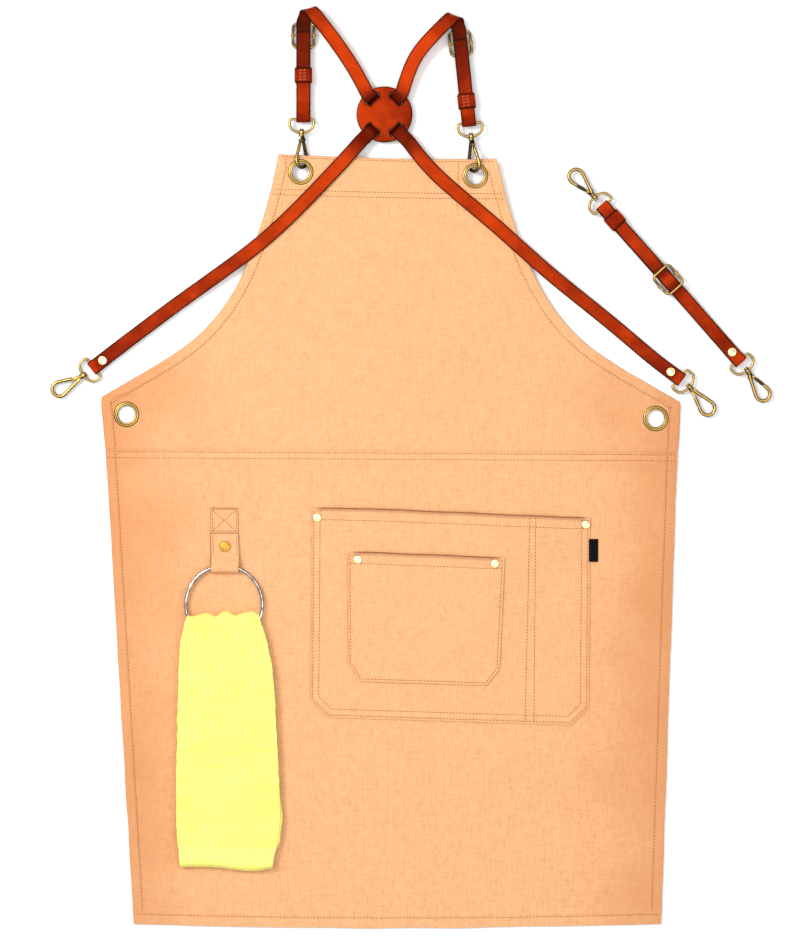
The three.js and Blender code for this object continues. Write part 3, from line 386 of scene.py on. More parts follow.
# the thread's colour is its own, darkened to also stand for the painted shade of its needle holes
THREAD = thread_finish("canvas_thread", (188, 114, 62), (122, 68, 32))
WAXED = leather_finish("waxed_leather")
LACE = thread_finish("leather_lacing", (216, 86, 30), (96, 22, 5))
BRASS = brass_finish("antique_brass", (204, 166, 92), (140, 104, 48), (20, 12, 6), 1.0)
BRIGHT = brass_finish("bright_brass", (244, 226, 172), (214, 178, 100), (70, 44, 16), 0.85, 0.24)
AMBER = brass_finish("amber_brass", (206, 150, 64), (164, 108, 42), (34, 18, 8), 1.0, 0.34)
DARK_BRASS = brass_finish("shaded_brass", (92, 68, 34), (60, 42, 20), (16, 10, 5), 1.0, 0.38)
CHROME = chrome_finish("chrome")
TERRY = terry_finish("terry")
TAPE = label_finish("woven_label")


# ---------------------------------------------------------------- mesh tools


class Shells:
    """Closed shells that go into one piece, with values on their points."""

    def __init__(self):
        self.points, self.faces, self.values = [], [], {}

    def add(self, points, faces, matrix=None, **values):
        first = len(self.points)
        self.points += [tuple(matrix @ Vector(p)) for p in points] if matrix else [tuple(p) for p in points]
        self.faces += [tuple(first + i for i in face) for face in faces]
        for name in {*self.values, *values}:
            held = self.values.setdefault(name, [0.0] * first)
            held += list(values.get(name, [0.0] * len(points)))

    def make(self, name, material, body, *nodes, slot=None, sharp=38):
        mesh = bpy.data.meshes.new(name)
        mesh.from_pydata([(x * 0.001, (y + SEAM_AT) * 0.001, z * 0.001) for x, y, z in self.points], [],
                         self.faces)
        mesh.materials.append(material)
        work = bmesh.new()
        work.from_mesh(mesh)
        bmesh.ops.recalc_face_normals(work, faces=work.faces)
        work.to_mesh(mesh)
        work.free()
        mesh.shade_smooth()
        mesh.set_sharp_from_angle(angle=radians(sharp))
        for key, values in self.values.items():
            mesh.attributes.new(key, "FLOAT", "POINT").data.foreach_set("value", np.array(values, np.float32))
        made = bpy.data.objects.new(name, mesh)
        scene.collection.objects.link(made)
        if body:
            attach(made, body)
        if nodes:
            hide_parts(*nodes)
        return made


def skin(count, sides, closed):
    """Faces round a row of sections that have the same number of corners, capped if the row is open."""
    faces = []
    for i in range(count if closed else count - 1):
        here, there = i * sides, (i + 1) % count * sides
        faces += [(here + k, here + (k + 1) % sides, there + (k + 1) % sides, there + k)
                  for k in range(sides)]
    if not closed:
        last = (count - 1) * sides
        faces += [tuple(range(sides)), tuple(range(last, last + sides))]
    return faces


def sweep(stations, section, closed=False):
    """Stations are (point, a, b); the section's corners are measured along a and b."""
    points = [at + a * p + b * q for at, a, b in stations for p, q in section]
    return points, skin(len(stations), len(section), closed)


def tube(path, radius, sides=14, closed=False, flat=1.0):
    """A round wire; radius is a number or one for each point, and flat squeezes it upwards."""
    count = len(path)
    radii = radius if hasattr(radius, "__len__") else [radius] * count
    ring = [(cos(2 * pi * k / sides), sin(2 * pi * k / sides)) for k in range(sides)]
    points = []
    for i, at in enumerate(path):
        before = path[(i - 1) % count] if closed else path[max(i - 1, 0)]
        after = path[(i + 1) % count] if closed else path[min(i + 1, count - 1)]
        along = (after - before).normalized()
        a = along.cross(UP)
        a = a.normalized() if a.length > 1e-4 else vec(1, 0)
        b = a.cross(along)
        points += [at + (a * p + b * q * flat) * radii[i] for p, q in ring]
    return points, skin(count, sides, closed)


def lathe(profile, sides=32, closed=False):
    """Turns (radius, height) points about Z; an open profile starts and ends on the axis."""
    points, rings = [], []
    for radius, height in profile:
        if radius < 1e-6:
            rings.append([len(points)] * sides)
            points.append(vec(0, 0, height))
        else:
            rings.append(list(range(len(points), len(points) + sides)))
            points += [vec(radius * cos(2 * pi * k / sides), radius * sin(2 * pi * k / sides), height)
                       for k in range(sides)]
    faces = []
    pairs = list(zip(rings, rings[1:] + rings[:1])) if closed else list(zip(rings, rings[1:]))
    for lower, upper in pairs:
        for k in range(sides):
            m = (k + 1) % sides
            corners = [lower[k], lower[m], upper[m], upper[k]]
            face = tuple(dict.fromkeys(corners))
            if len(face) > 2:
                faces.append(face)
    return points, faces


def round_box(low, high, bevel, segments=3):
    work = bmesh.new()
    bmesh.ops.create_cube(work, size=1)
    size = [h - l for l, h in zip(low, high)]
    for v in work.verts:
        v.co = Vector([l + (c + 0.5) * s for l, c, s in zip(low, v.co, size)])
    bmesh.ops.bevel(work, geom=list(work.edges), offset=bevel, offset_type="OFFSET", segments=segments,
                    profile=0.5, affect="EDGES", material=-1)
    points = [v.co.copy() for v in work.verts]
    faces = [tuple(v.index for v in face.verts) for face in work.faces]
    work.free()
    return points, faces


def resample(stations, spacing):
    """Stations of (point, across, tone) at an even spacing on a smooth curve through the given ones."""
    rows = np.array([[*at, *across, tone] for at, across, tone in stations], float)
    gaps = np.maximum(np.linalg.norm(np.diff(rows[:, :3], axis=0), axis=1), 1e-6)
    knots = np.concatenate([[0], np.cumsum(np.sqrt(gaps))])
    slopes = np.empty_like(rows)
    for i in range(len(rows)):
        a, b = max(i - 1, 0), min(i + 1, len(rows) - 1)
        if a == i or b == i:
            slopes[i] = (rows[b] - rows[a]) / (knots[b] - knots[a])
            continue
        slopes[i] = ((rows[i] - rows[a]) / (knots[i] - knots[a]) - (rows[b] - rows[a]) / (knots[b] - knots[a])
                     + (rows[b] - rows[i]) / (knots[b] - knots[i]))
    fine = []
    for i, gap in enumerate(gaps):
        span = knots[i + 1] - knots[i]
        for k in range(max(1, ceil(gap / spacing))):
            t = k / max(1, ceil(gap / spacing))
            h = (2 * t**3 - 3 * t**2 + 1, t**3 - 2 * t**2 + t, -2 * t**3 + 3 * t**2, t**3 - t**2)
            fine.append(h[0] * rows[i] + h[1] * span * slopes[i] + h[2] * rows[i + 1]
                        + h[3] * span * slopes[i + 1])
    fine.append(rows[-1])
    return [(Vector(r[:3]), Vector(r[3:6]).normalized(), float(r[6])) for r in fine]


def strap_section(width, thickness):
    """Corners of a strap's section with softened edges, and how near the edge each is."""
    half, t = width / 2, thickness / 2
    top = [(x * half, t * (1 - 0.16 * abs(x) ** 6))
           for x in (-0.95, -0.86, -0.7, -0.35, 0, 0.35, 0.7, 0.86, 0.95)]
    edge = {0.95: 0.85, 0.86: 0.35, 0.7: 0.06}
    right = [(half, t * 0.5), (half, -t * 0.5)]
    under = [(x, -y) for x, y in reversed(top)]
    left = [(-half, -t * 0.5), (-half, t * 0.5)]
    corners = [*top, *right, *under, *left]
    near = [edge.get(round(abs(x) / half, 2), 1.0 if abs(x) >= half * 0.99 else 0.0) for x, _ in corners]
    return corners, near


def strap(shells, stations, width=STRAP, thickness=LEATHER, spacing=2.2):
    """A leather strap along stations of (point, across, tone)."""
    rows = resample(stations, spacing)
    section, near = strap_section(width, thickness)
    framed = []
    for i, (at, across, _) in enumerate(rows):
        along = (rows[min(i + 1, len(rows) - 1)][0] - rows[max(i - 1, 0)][0]).normalized()
        normal = across.cross(along).normalized()
        framed.append((at, along.cross(normal).normalized(), normal))
    points, faces = sweep(framed, section)
    ends = {0, len(rows) - 1}
    edge = [1.0 if i in ends else value for i in range(len(rows)) for value in near]
    shells.add(points, faces, tone=[row[2] for row in rows for _ in section], edge=edge)
    return rows


def basis(x, y, z, at):
    matrix = Matrix((x, y, z)).transposed().to_4x4()
    matrix.translation = at
    return matrix


def cloth_sheet(shells, rows, thickness, drop=(), hem=None, bulge=0.35, dark=None):
    """A closed cloth sheet over rows of underside points. drop is a test for points inside a hole."""
    across, count = len(rows[0]), len(rows)
    under = [p for row in rows for p in row]
    total = len(under)
    height = thickness if hasattr(thickness, "__len__") else [thickness] * total
    quads = []
    for r in range(count - 1):
        for c in range(across - 1):
            a = r * across + c
            quad = (a, a + 1, a + across + 1, a + across)
            middle = (under[quad[0]] + under[quad[2]]) / 2
            if not any((middle - vec(*hole, middle.z)).length < 6 for hole in drop):
                quads.append(quad)
    sides = {}
    for quad in quads:
        for k in range(4):
            sides[(quad[k], quad[(k + 1) % 4])] = quad
    rim = [(a, b) for a, b in sides if (b, a) not in sides]
    outward = {}
    for a, b in rim:
        side = (under[b] - under[a]).cross(UP).normalized()
        for i in (a, b):
            outward[i] = outward.get(i, vec(0, 0)) + side

    def opened(p):
        for hole in drop:
            away = vec(p.x - hole[0], p.y - hole[1])
            if away.length < 15:
                away.normalize()
                far = 11.4 + 0.24 * (vec(p.x - hole[0], p.y - hole[1])).length
                return vec(hole[0] + away.x * far, hole[1] + away.y * far, p.z)
        return p

    used = sorted({i for quad in quads for i in quad})
    number = {i: k for k, i in enumerate(used)}
    low = [opened(under[i]) for i in used]
    high = [p + UP * height[i] for p, i in zip(low, used)]
    middle = [low[number[i]] + UP * height[i] / 2 + outward[i].normalized() * bulge for i in outward]
    place = {i: 2 * len(used) + k for k, i in enumerate(outward)}
    faces = []
    for quad in quads:
        faces.append(tuple(number[i] for i in reversed(quad)))
        faces.append(tuple(number[i] + len(used) for i in quad))
    for a, b in rim:
        faces.append((number[a], number[b], place[b], place[a]))
        faces.append((place[a], place[b], number[b] + len(used), number[a] + len(used)))
    near = [hem[i] for i in used] if hem else [99.0] * len(used)
    # edge darkens the cut rim; dark adds painted shade, such as the shadow along a pocket's mouth
    edge = [max(0.3 if i in outward else 0.0, dark[i] if dark else 0.0) for i in used]
    shells.add([*low, *high, *middle], faces, hem=near + near + [0.0] * len(middle),
               edge=edge + edge + [1.0] * len(middle))


def columns_across(half, steps, count):
    """Distances across a cloth from edge to edge, close together at the edges."""
    inner = steps[-1]
    middle = [lerp(-half + inner, half - inner, k / count) for k in range(1, count)]
    return [-half + s for s in steps] + middle + [half - s for s in reversed(steps)]


def stitches(shells, path, pitch=3.9, length=2.8, radius=0.48, closed=False):
    """A row of sewn stitches on a path of points."""
    path = [*path, path[0]] if closed else list(path)
    lengths = [(b - a).length for a, b in zip(path, path[1:])]
    total = sum(lengths)
    count = max(1, round(total / pitch))
    ring = [(cos(2 * pi * k / 5), sin(2 * pi * k / 5)) for k in range(5)]
    i, walked = 0, 0.0
    for s in range(count):
        target = (s + 0.5) * total / count
        while i < len(lengths) - 1 and walked + lengths[i] < target:
            walked += lengths[i]
            i += 1
        share = clamp((target - walked) / max(lengths[i], 1e-6))
        at = path[i].lerp(path[i + 1], share)
        along = (path[i + 1] - path[i]).normalized()
        side = along.cross(UP).normalized()
        normal = side.cross(along)
        half = length / 2 * (1 + 0.08 * hum(at.x, at.y, 3))
        side_shift = side * 0.12 * hum(at.x, at.y, 5, 4)
        points = [at - along * half - normal * radius * 0.5 + side_shift]
        for offset in (-0.55, 0.55):
            points += [at + along * half * offset + (side * p + normal * q) * radius + side_shift for p,
                       q in ring]
        points.append(at + along * half - normal * radius * 0.5 + side_shift)
        faces = [(0, 1 + (k + 1) % 5, 1 + k) for k in range(5)]
        faces += [(1 + k, 1 + (k + 1) % 5, 6 + (k + 1) % 5, 6 + k) for k in range(5)]
        faces += [(6 + k, 6 + (k + 1) % 5, 11) for k in range(5)]
        shells.add(points, faces)


# ---------------------------------------------------------------- how the cloth lies

# The bib rises by this much for each millimetre towards its top.
BIB_TILT = BIB_LIFT / sqrt((BIB_HEIGHT + SEAM_LAP) ** 2 - BIB_LIFT**2)


def laid(x, y):
    slope = lerp(SEAM_SLOPE, BIB_SLOPE, min(y / BIB_HEIGHT, 1)) if y > 0 else SEAM_SLOPE * max(0,
            1 + y / SKIRT_DROP)
    return x - LEAN * y, y - slope * x


def armhole_points(count=60):
    ends = (vec(WAIST_HALF, WAIST_RISE), vec(WAIST_HALF - 111, WAIST_RISE + 66),
            vec(BIB_HALF + 47, BIB_HEIGHT - 212), vec(BIB_HALF, BIB_HEIGHT))
    curve = []
    for i in range(count + 1):
        t = i / count
        shares = ((1 - t) ** 3, 3 * t * (1 - t) ** 2, 3 * t * t * (1 - t), t**3)
        curve.append(sum((p * s for p, s in zip(ends, shares)), vec(0, 0)))
    return curve


ARMHOLE = armhole_points()


def cloth_half(y):
    if y <= 0:
        return lerp(SEAM_HALF, HEM_HALF, -y / SKIRT_DROP)
    if y <= WAIST_RISE:
        return lerp(SEAM_HALF, WAIST_HALF, y / WAIST_RISE)
    for low, high in zip(ARMHOLE, ARMHOLE[1:]):
        if y <= high.y:
            return lerp(low.x, high.x, (y - low.y) / (high.y - low.y))
    return BIB_HALF


def side_lean(y):
    """How much nearer the side edge is than it looks along a row."""
    slope = (cloth_half(y + 2) - cloth_half(y - 2)) / 4
    return 1 / sqrt(1 + slope * slope)


def bib_z(y, height=0.0):
    return (y + SEAM_LAP) * BIB_TILT + height


def bib_point(x, y, height=0.0):
    px, py = laid(x, y)
    py -= 2.4 * (1 - (x / BIB_HALF) ** 2) * smooth(y, BIB_HEIGHT - 90, BIB_HEIGHT) if abs(x) < BIB_HALF else 0
    return vec(px, py, bib_z(py, height))


EYELETS = {
    "left_bib": laid(-BIB_HALF + 25, BIB_HEIGHT - 20),
    "right_bib": laid(BIB_HALF - 25, BIB_HEIGHT - 20),
    "left_waist": laid(-WAIST_HALF + 29.5, WAIST_RISE - 19),
    "right_waist": laid(WAIST_HALF - 29.5, WAIST_RISE - 19),
}
WAVE = 0.8


def wavy(side, y):
    """A cut edge never runs quite straight."""
    return WAVE * hum(y, side * 50, 42) + 0.35 * hum(y, side * 90, 13)


def bib_cloth():
    bib = Shells()
    heights = [-SEAM_LAP, -6, 0]
    while heights[-1] < BIB_HEIGHT - 17:
        heights.append(heights[-1] + 5)
    heights += [BIB_HEIGHT - 11, BIB_HEIGHT - 7, BIB_HEIGHT - 3, BIB_HEIGHT - 0.7, BIB_HEIGHT]
    rows, hem = [], []
    for y in heights:
        half = cloth_half(y)
        lean = side_lean(y) if WAIST_RISE < y < BIB_HEIGHT - 2 else 1
        steps = [0, 0.7, 4, 9.5 / lean, 13 / lean, 20 / lean]
        row = []
        for x in columns_across(half, steps, 120):
            side = 1 if x > 0 else -1
            border = clamp((abs(x) - half + 30) / 30)
            drift = wavy(side, y) * border if y > 0 else 0
            lift = 0.35 * hum(x, BIB_HEIGHT, 24) * smooth(y, BIB_HEIGHT - 30, BIB_HEIGHT)
            p = bib_point(x + side * drift, y + lift * 1.4)
            row.append(p)
            hem.append(min((half - abs(x)) * lean, 99))
        rows.append(row)
    holes = [EYELETS[name] for name in EYELETS]
    cloth_sheet(bib, rows, CLOTH, holes, hem)
    piece = bib.make("bib_cloth", CANVAS, "apron", "bib_panel")
    area = sum(2 * cloth_half(y) * 5 for y in range(-10, BIB_HEIGHT, 5)) * 1e-6

    facing = Shells()
    rows = []
    for k in range(11):
        y = BIB_HEIGHT - lerp(FACING_DEPTH, 1.2, k / 10)
        half = cloth_half(y) - 1
        rows.append([bib_point(x, y, -0.95) for x in np.linspace(-half, half, 56)])
    cloth_sheet(facing, rows, 0.62, [EYELETS["left_bib"], EYELETS["right_bib"]], bulge=0.1)
    piece = facing.make("bib_facing_cloth", CANVAS, "apron", "bib_facing")

    sewing = Shells()
    for side in (-1, 1):
        edge = [vec(side * cloth_half(y), y) for y in np.linspace(2, WAIST_RISE, 8)]
        edge += [vec(side * p.x, p.y) for p in ARMHOLE[1:]]
        inset = []
        for i, p in enumerate(edge):
            along = (edge[min(i + 1, len(edge) - 1)] - edge[max(i - 1, 0)]).normalized()
            q = p + vec(-along.y, along.x) * SEWN_AT * side
            if q.y < BIB_HEIGHT - 4:
                inset.append(bib_point(q.x, q.y, THREAD_UP))
        stitches(sewing, inset)
        short = side * (BIB_HALF - (6.5 if side < 0 else 44))
        reach = (BIB_HEIGHT - 3, BIB_HEIGHT - (12 if side < 0 else 30))
        stitches(sewing, [bib_point(short, reach[0], THREAD_UP),
                          bib_point(short - side * 1.5, reach[1], THREAD_UP)])
    for down in (2.4, 40.5, 46.8):
        half = cloth_half(BIB_HEIGHT - down) - (4 if down < 5 else 3)
        stitches(sewing, [bib_point(x, BIB_HEIGHT - down + 0.35 * hum(x, down, 22), THREAD_UP)
                          for x in np.linspace(-half, half, 40)])
    sewing.make("bib_stitching", THREAD, "apron", slot="canvas")


def skirt_height(y):
    lap = BIB_LIFT * SEAM_LAP / (BIB_HEIGHT + SEAM_LAP) + CLOTH + GAP
    return lap * smooth(y, -SEAM_LAP - 12, -SEAM_LAP - 1)


def skirt_point(x, y, height=0.0):
    bow = HEM_BOW * (1 - (x / cloth_half(y)) ** 2) * clamp(-y / SKIRT_DROP) ** 4
    px, py = laid(x, y - bow)
    return vec(px, py, skirt_height(y) + height)


def skirt_cloth():
    skirt = Shells()
    downs = [0, 0.7, 3, 6, 9, 12, 14, 16, 18, 20, 22, 24, 27]
    while downs[-1] < SKIRT_DROP - 24:
        downs.append(downs[-1] + 6)
    downs += [SKIRT_DROP - d for d in (15, 12, 9, 5, 0.7, 0)]
    rows, hem = [], []
    for down in downs:
        y = -down
        half = cloth_half(y)
        row = []
        for x in columns_across(half, [0, 0.7, 4, 9.5, 13, 20], 112):
            side = 1 if x > 0 else -1
            drift = wavy(side, y) * clamp((abs(x) - half + 30) / 30)
            low = 1.1 * hum(x, -SKIRT_DROP, 60) * smooth(down, SKIRT_DROP - 60, SKIRT_DROP)
            row.append(skirt_point(x + side * drift, y) + vec(0, low))
            hem.append(min(half - abs(x), SKIRT_DROP - down))
        rows.append(row)
    cloth_sheet(skirt, rows, CLOTH, (), hem)
    piece = skirt.make("skirt_cloth", CANVAS, "apron", "skirt_panel")

    sewing = Shells()
    for side in (-1, 1):
        stitches(sewing, [skirt_point(side * (cloth_half(-d) - SEWN_AT), -d, THREAD_UP)
                          for d in range(4, SKIRT_DROP - 8, 8)])
    half = HEM_HALF - 3
    stitches(sewing, [skirt_point(x, -SKIRT_DROP + 11.4 + 0.4 * hum(x, 0, 30), THREAD_UP)
                      for x in np.linspace(-half, half, 60)])
    for down in (2.7, 9.9):
        half = SEAM_HALF - 2
        stitches(sewing, [skirt_point(x, -down, THREAD_UP) for x in np.linspace(-half, half, 60)])
    sewing.make("skirt_stitching", THREAD, "apron", slot="canvas")


# ---------------------------------------------------------------- pockets

SKIRT_TOP = CLOTH + GAP


def pocket_frame(at, half, taper, depth, chamfer, rise, base, steep, skew, arch):
    """Maps a place on a pocket, across from its middle and down from its mouth, to the cloth."""

    def half_at(down):
        return half - taper * down / depth - max(0, down - depth + chamfer * steep) / steep

    def point(x, down, height=0.0):
        room = max(half_at(down), 1)
        inside = clamp((room - abs(x)) / 26) * clamp((depth - down) / 30)
        puff = rise * smooth(inside) * (0.7 + 0.3 * hum(x, down, 55))
        mouth = 2.0 * exp(-down / 20) * smooth((room - abs(x)) / 34) * (0.8 + 0.3 * hum(x, 8, 40))
        share = clamp((x + half) / (2 * half))
        bow = arch * sin(pi * sqrt(share)) * (1 - 0.5 * share) + 0.5 * hum(x, 3, 45)
        return vec(at[0] + x + skew * down / depth,
                   at[1] - down - POCKET_SLOPE * x + bow * smooth(40 - down, 0, 40),
                   base + puff + mouth + height)

    return point, half_at


def pocket(name, node, at, half, taper, depth, chamfer, rise, base, rows_in, steep, skew, arch, divider=None):
    point, half_at = pocket_frame(at, half, taper, depth, chamfer, rise, base, steep, skew, arch)
    cloth = Shells()
    tall = chamfer * steep
    downs = [0, 0.7, 2, 5, 9, 12, 16]
    while downs[-1] < depth - tall - 5:
        downs.append(downs[-1] + 4.5)
    downs += [depth - tall * (1 - k / 5) for k in range(5)] + [depth - 0.7, depth]
    rows, hem, dark = [], [], []
    for down in downs:
        room = half_at(down)
        columns = columns_across(room, [0, 0.7, 4, 9, 14], 60)
        rows.append([point(x, down) for x in columns])
        hem += [min(room - abs(x), depth - down, max(down - 2, 0)) + 9 for x in columns]
        # painted shadow: the cloth at the pocket mouth is darkened as the shade of the gap under it
        mouth_shadow = 0.95 if down < 1 else 0.4 if down < 3 else 0.0
        dark += [mouth_shadow * smooth(room - abs(x), 2, 12) for x in columns]
    cloth_sheet(cloth, rows, CLOTH, (), hem, dark=dark)
    piece = cloth.make(name + "_cloth", CANVAS, "apron", node)

    sewing = Shells()
    for inset in rows_in:
        corner = depth - tall - inset * 0.41
        path = [(-half_at(0) + inset, 2.5), (-half_at(corner) + inset, corner),
                (-half_at(depth) + inset * 0.41, depth - inset)]
        path += [(-x, d) for x, d in reversed(path)]
        fine = []
        for (ax, ad), (bx, bd) in zip(path, path[1:]):
            count = max(2, round(sqrt((bx - ax) ** 2 + (bd - ad) ** 2) / 7))
            fine += [point(lerp(ax, bx, k / count), lerp(ad, bd, k / count), THREAD_UP) for k in range(count)]
        fine.append(point(*path[-1], THREAD_UP))
        stitches(sewing, fine)
    room = half - 3
    stitches(sewing, [point(x, 13.6, THREAD_UP) for x in np.linspace(-room, room, 50)])
    if divider is not None:
        for shift, lean in ((-3.4, 3.6), (3.4, 0)):
            stitches(sewing, [point(divider + shift - lean * d / depth, d, THREAD_UP)
                              for d in np.linspace(2.5, depth - 3, 40)])
    sewing.make(name + "_stitching", THREAD, "apron", slot="canvas")
    return point


def rivet(name, at, cap, rise, body, *nodes, finish=None):
    """A domed cap with a rolled rim."""
    shells = Shells()
    profile = [(0, -0.4), (cap * 0.9, -0.4), (cap, 0.1), (cap, rise * 0.45), (cap * 0.94, rise * 0.72),
               (cap * 0.86, rise * 0.82), (cap * 0.78, rise * 0.7), (cap * 0.72, rise * 0.72), (cap * 0.6,
                                                                                                rise * 0.88),
               (cap * 0.4, rise * 0.97), (cap * 0.2, rise), (0, rise * 1.01)]
    points, faces = lathe(profile, 40)
    shells.add(points, faces, Matrix.Translation(at))
    return shells.make(name, finish or BRIGHT, body, *nodes, sharp=60)


def pockets():
    large = pocket("large_pocket", "large_pocket", (POCKET_AT[0] - 0.5, POCKET_AT[1]), POCKET_HALF + 1.5, 0,
                   POCKET_DEPTH,
                   POCKET_CHAMFER, 1.3, SKIRT_TOP, (2.9, 10.2), 1.0, -2.0, 3.2, DIVIDER_AT + 0.5)
    small = pocket("small_pocket", "small_pocket", (SMALL_AT[0] - 2.0, SMALL_AT[1]), SMALL_HALF + 2.4, 4.0,
                   SMALL_DEPTH,
                   SMALL_CHAMFER, 0.9, SKIRT_TOP + 2.9, (3.0,), 1.4, -2.9, 1.6)
    cap = CLOTH + 0.4
    for name, node, place in (
            ("large_pocket_cap_left", "large_pocket_rivet_left", large(-POCKET_HALF + 5, 11, cap)),
            ("large_pocket_cap_right", "large_pocket_rivet_right", large(POCKET_HALF - 4, 8.5, cap)),
            ("small_pocket_cap_left", "small_pocket_rivet_left", small(9.6 - SMALL_HALF, 9, cap)),
            ("small_pocket_cap_right", "small_pocket_rivet_right", small(SMALL_HALF - 9.2, 7.6, cap))):
        rivet(name, place, 5.0, 1.7, "apron", node)

    label = Shells()
    x, y = POCKET_AT[0] + POCKET_HALF - 1.2, POCKET_AT[1] - POCKET_SLOPE * POCKET_HALF - 25
    points, faces = round_box((x, y - 27, SKIRT_TOP + 0.1), (x + 11.2, y, SKIRT_TOP + 1.1), 0.35)
    label.add(points, faces)
    label.make("label_tape", TAPE, "apron", "side_label")


# ---------------------------------------------------------------- towel, tab and ring

HINGE_Y = TAB_AT[1] - TAB_REACH
HINGE_Z = SKIRT_TOP + CLOTH + TAB_LOOP
RING_AT = vec(TAB_AT[0], HINGE_Y + RING_HANG - RING_RADIUS, HINGE_Z)


def tab_and_ring():
    x0 = TAB_AT[0]
    fold = TAB_LOOP + CLOTH / 2
    inner = SKIRT_TOP + CLOTH / 2
    outer = inner + CLOTH + GAP
    rivet_y = TAB_AT[1] - TAB_RIVET_DOWN
    across = vec(1, 0)
    front = TAB_AT[1] - 29.4
    path = [vec(x0, TAB_AT[1], inner), vec(x0, HINGE_Y + 14, inner), vec(x0, HINGE_Y + 5, inner + 0.3)]
    for k in range(13):
        turn = (k / 12 - 0.5) * pi
        path.append(vec(x0 + 0.8, HINGE_Y - fold * cos(turn), HINGE_Z + fold * sin(turn)))
    path += [vec(x0 + 1.2, HINGE_Y + 5, HINGE_Z + fold - 0.6), vec(x0 + 1.3, HINGE_Y + 12, outer + 3),
             vec(x0 + 1.2, rivet_y - 7, outer + 0.5), vec(x0 + 0.8, rivet_y, outer + 0.1),
             vec(x0 + 0.4, rivet_y + 9, outer + 0.3), vec(x0, front, outer + 0.6)]
    rows = resample([(p, across, 0.0) for p in path], 2.0)
    half = TAB_WIDTH / 2
    columns = [-half, -half + 0.7, -half + 3, *np.linspace(-half + 6, half - 6, 8), half - 3, half - 0.7,
               half]
    tab = Shells()
    section = [(c, 0.5 * CLOTH) for c in columns] + [(half + 0.3, 0)] + [(c, -0.5 * CLOTH)
                                                                         for c in reversed(columns)]
    section += [(-half - 0.3, 0)]
    framed = []
    for i, (at, side, _) in enumerate(rows):
        along = (rows[min(i + 1, len(rows) - 1)][0] - rows[max(i - 1, 0)][0]).normalized()
        framed.append((at, side, side.cross(along).normalized()))
    points, faces = sweep(framed, section)
    rim = [1.0 if abs(p) > half else 0.55 if abs(p) > half - 0.5 else 0.0 for p, _ in section]
    ends = (0, len(rows) - 1)
    tab.add(points, faces, edge=[max(v, 0.9 if i in ends else 0) for i in range(len(rows)) for v in rim],
            hem=[99.0] * len(points))
    piece = tab.make("towel_tab_cloth", CANVAS, "apron", "towel_tab")

    sewing = Shells()
    top = inner + CLOTH / 2 + 0.12
    upper, lower = TAB_AT[1] - 2.2, front + 2.2
    left, right = x0 - half + 2.2, x0 + half - 2.2
    corners = [vec(left, upper, top), vec(right, upper, top), vec(right, lower, top), vec(left, lower, top)]
    stitches(sewing, corners, pitch=3.2, length=2.3, closed=True)
    stitches(sewing, [corners[0], corners[2]], pitch=3.2, length=2.3)
    stitches(sewing, [corners[1], corners[3]], pitch=3.2, length=2.3)
    top = outer + CLOTH / 2 + 0.35
    for x in (left, right):
        stitches(sewing, [vec(x + 0.5, front - 3, top), vec(x + 1, rivet_y - 3, top),
                          vec(x + 1.2, rivet_y - 13, top + 1.2)],
                 pitch=3.2, length=2.3)
    sewing.make("tab_stitching", THREAD, "apron", slot="canvas")
    rivet("towel_tab_cap", vec(x0 + 0.8, rivet_y + 1, outer + CLOTH / 2 + 0.35), 6.4, 1.8, "apron",
          "towel_tab_rivet",
          finish=AMBER)

    ring = Shells()
    path = []
    for k in range(120):
        turn = k / 120 * 2 * pi
        x, y = RING_RADIUS * cos(turn), RING_RADIUS * sin(turn)
        path.append(RING_AT + vec(x, y * 1.01 + 1.4, RING_TILT * (1 - y / RING_RADIUS) / 2))
    points, faces = tube(path, RING_WIRE, 18, closed=True)
    ring.add(points, faces)
    ring.make("towel_ring_wire", CHROME, "towel_on_ring", "towel_ring")


TOWEL_SIDE = [  # down from the fold, half widths left and right
    (0, 42, 40.5), (8, 44.5, 43), (20, 48, 47.5), (32, 51, 51), (60, 53, 57), (100, 54, 60), (150, 55,
            62.5), (190, 56, 64.5),
    (235, 56, 66), (258, 55, 64), (275, 53, 60), (292, 52, 57),
]


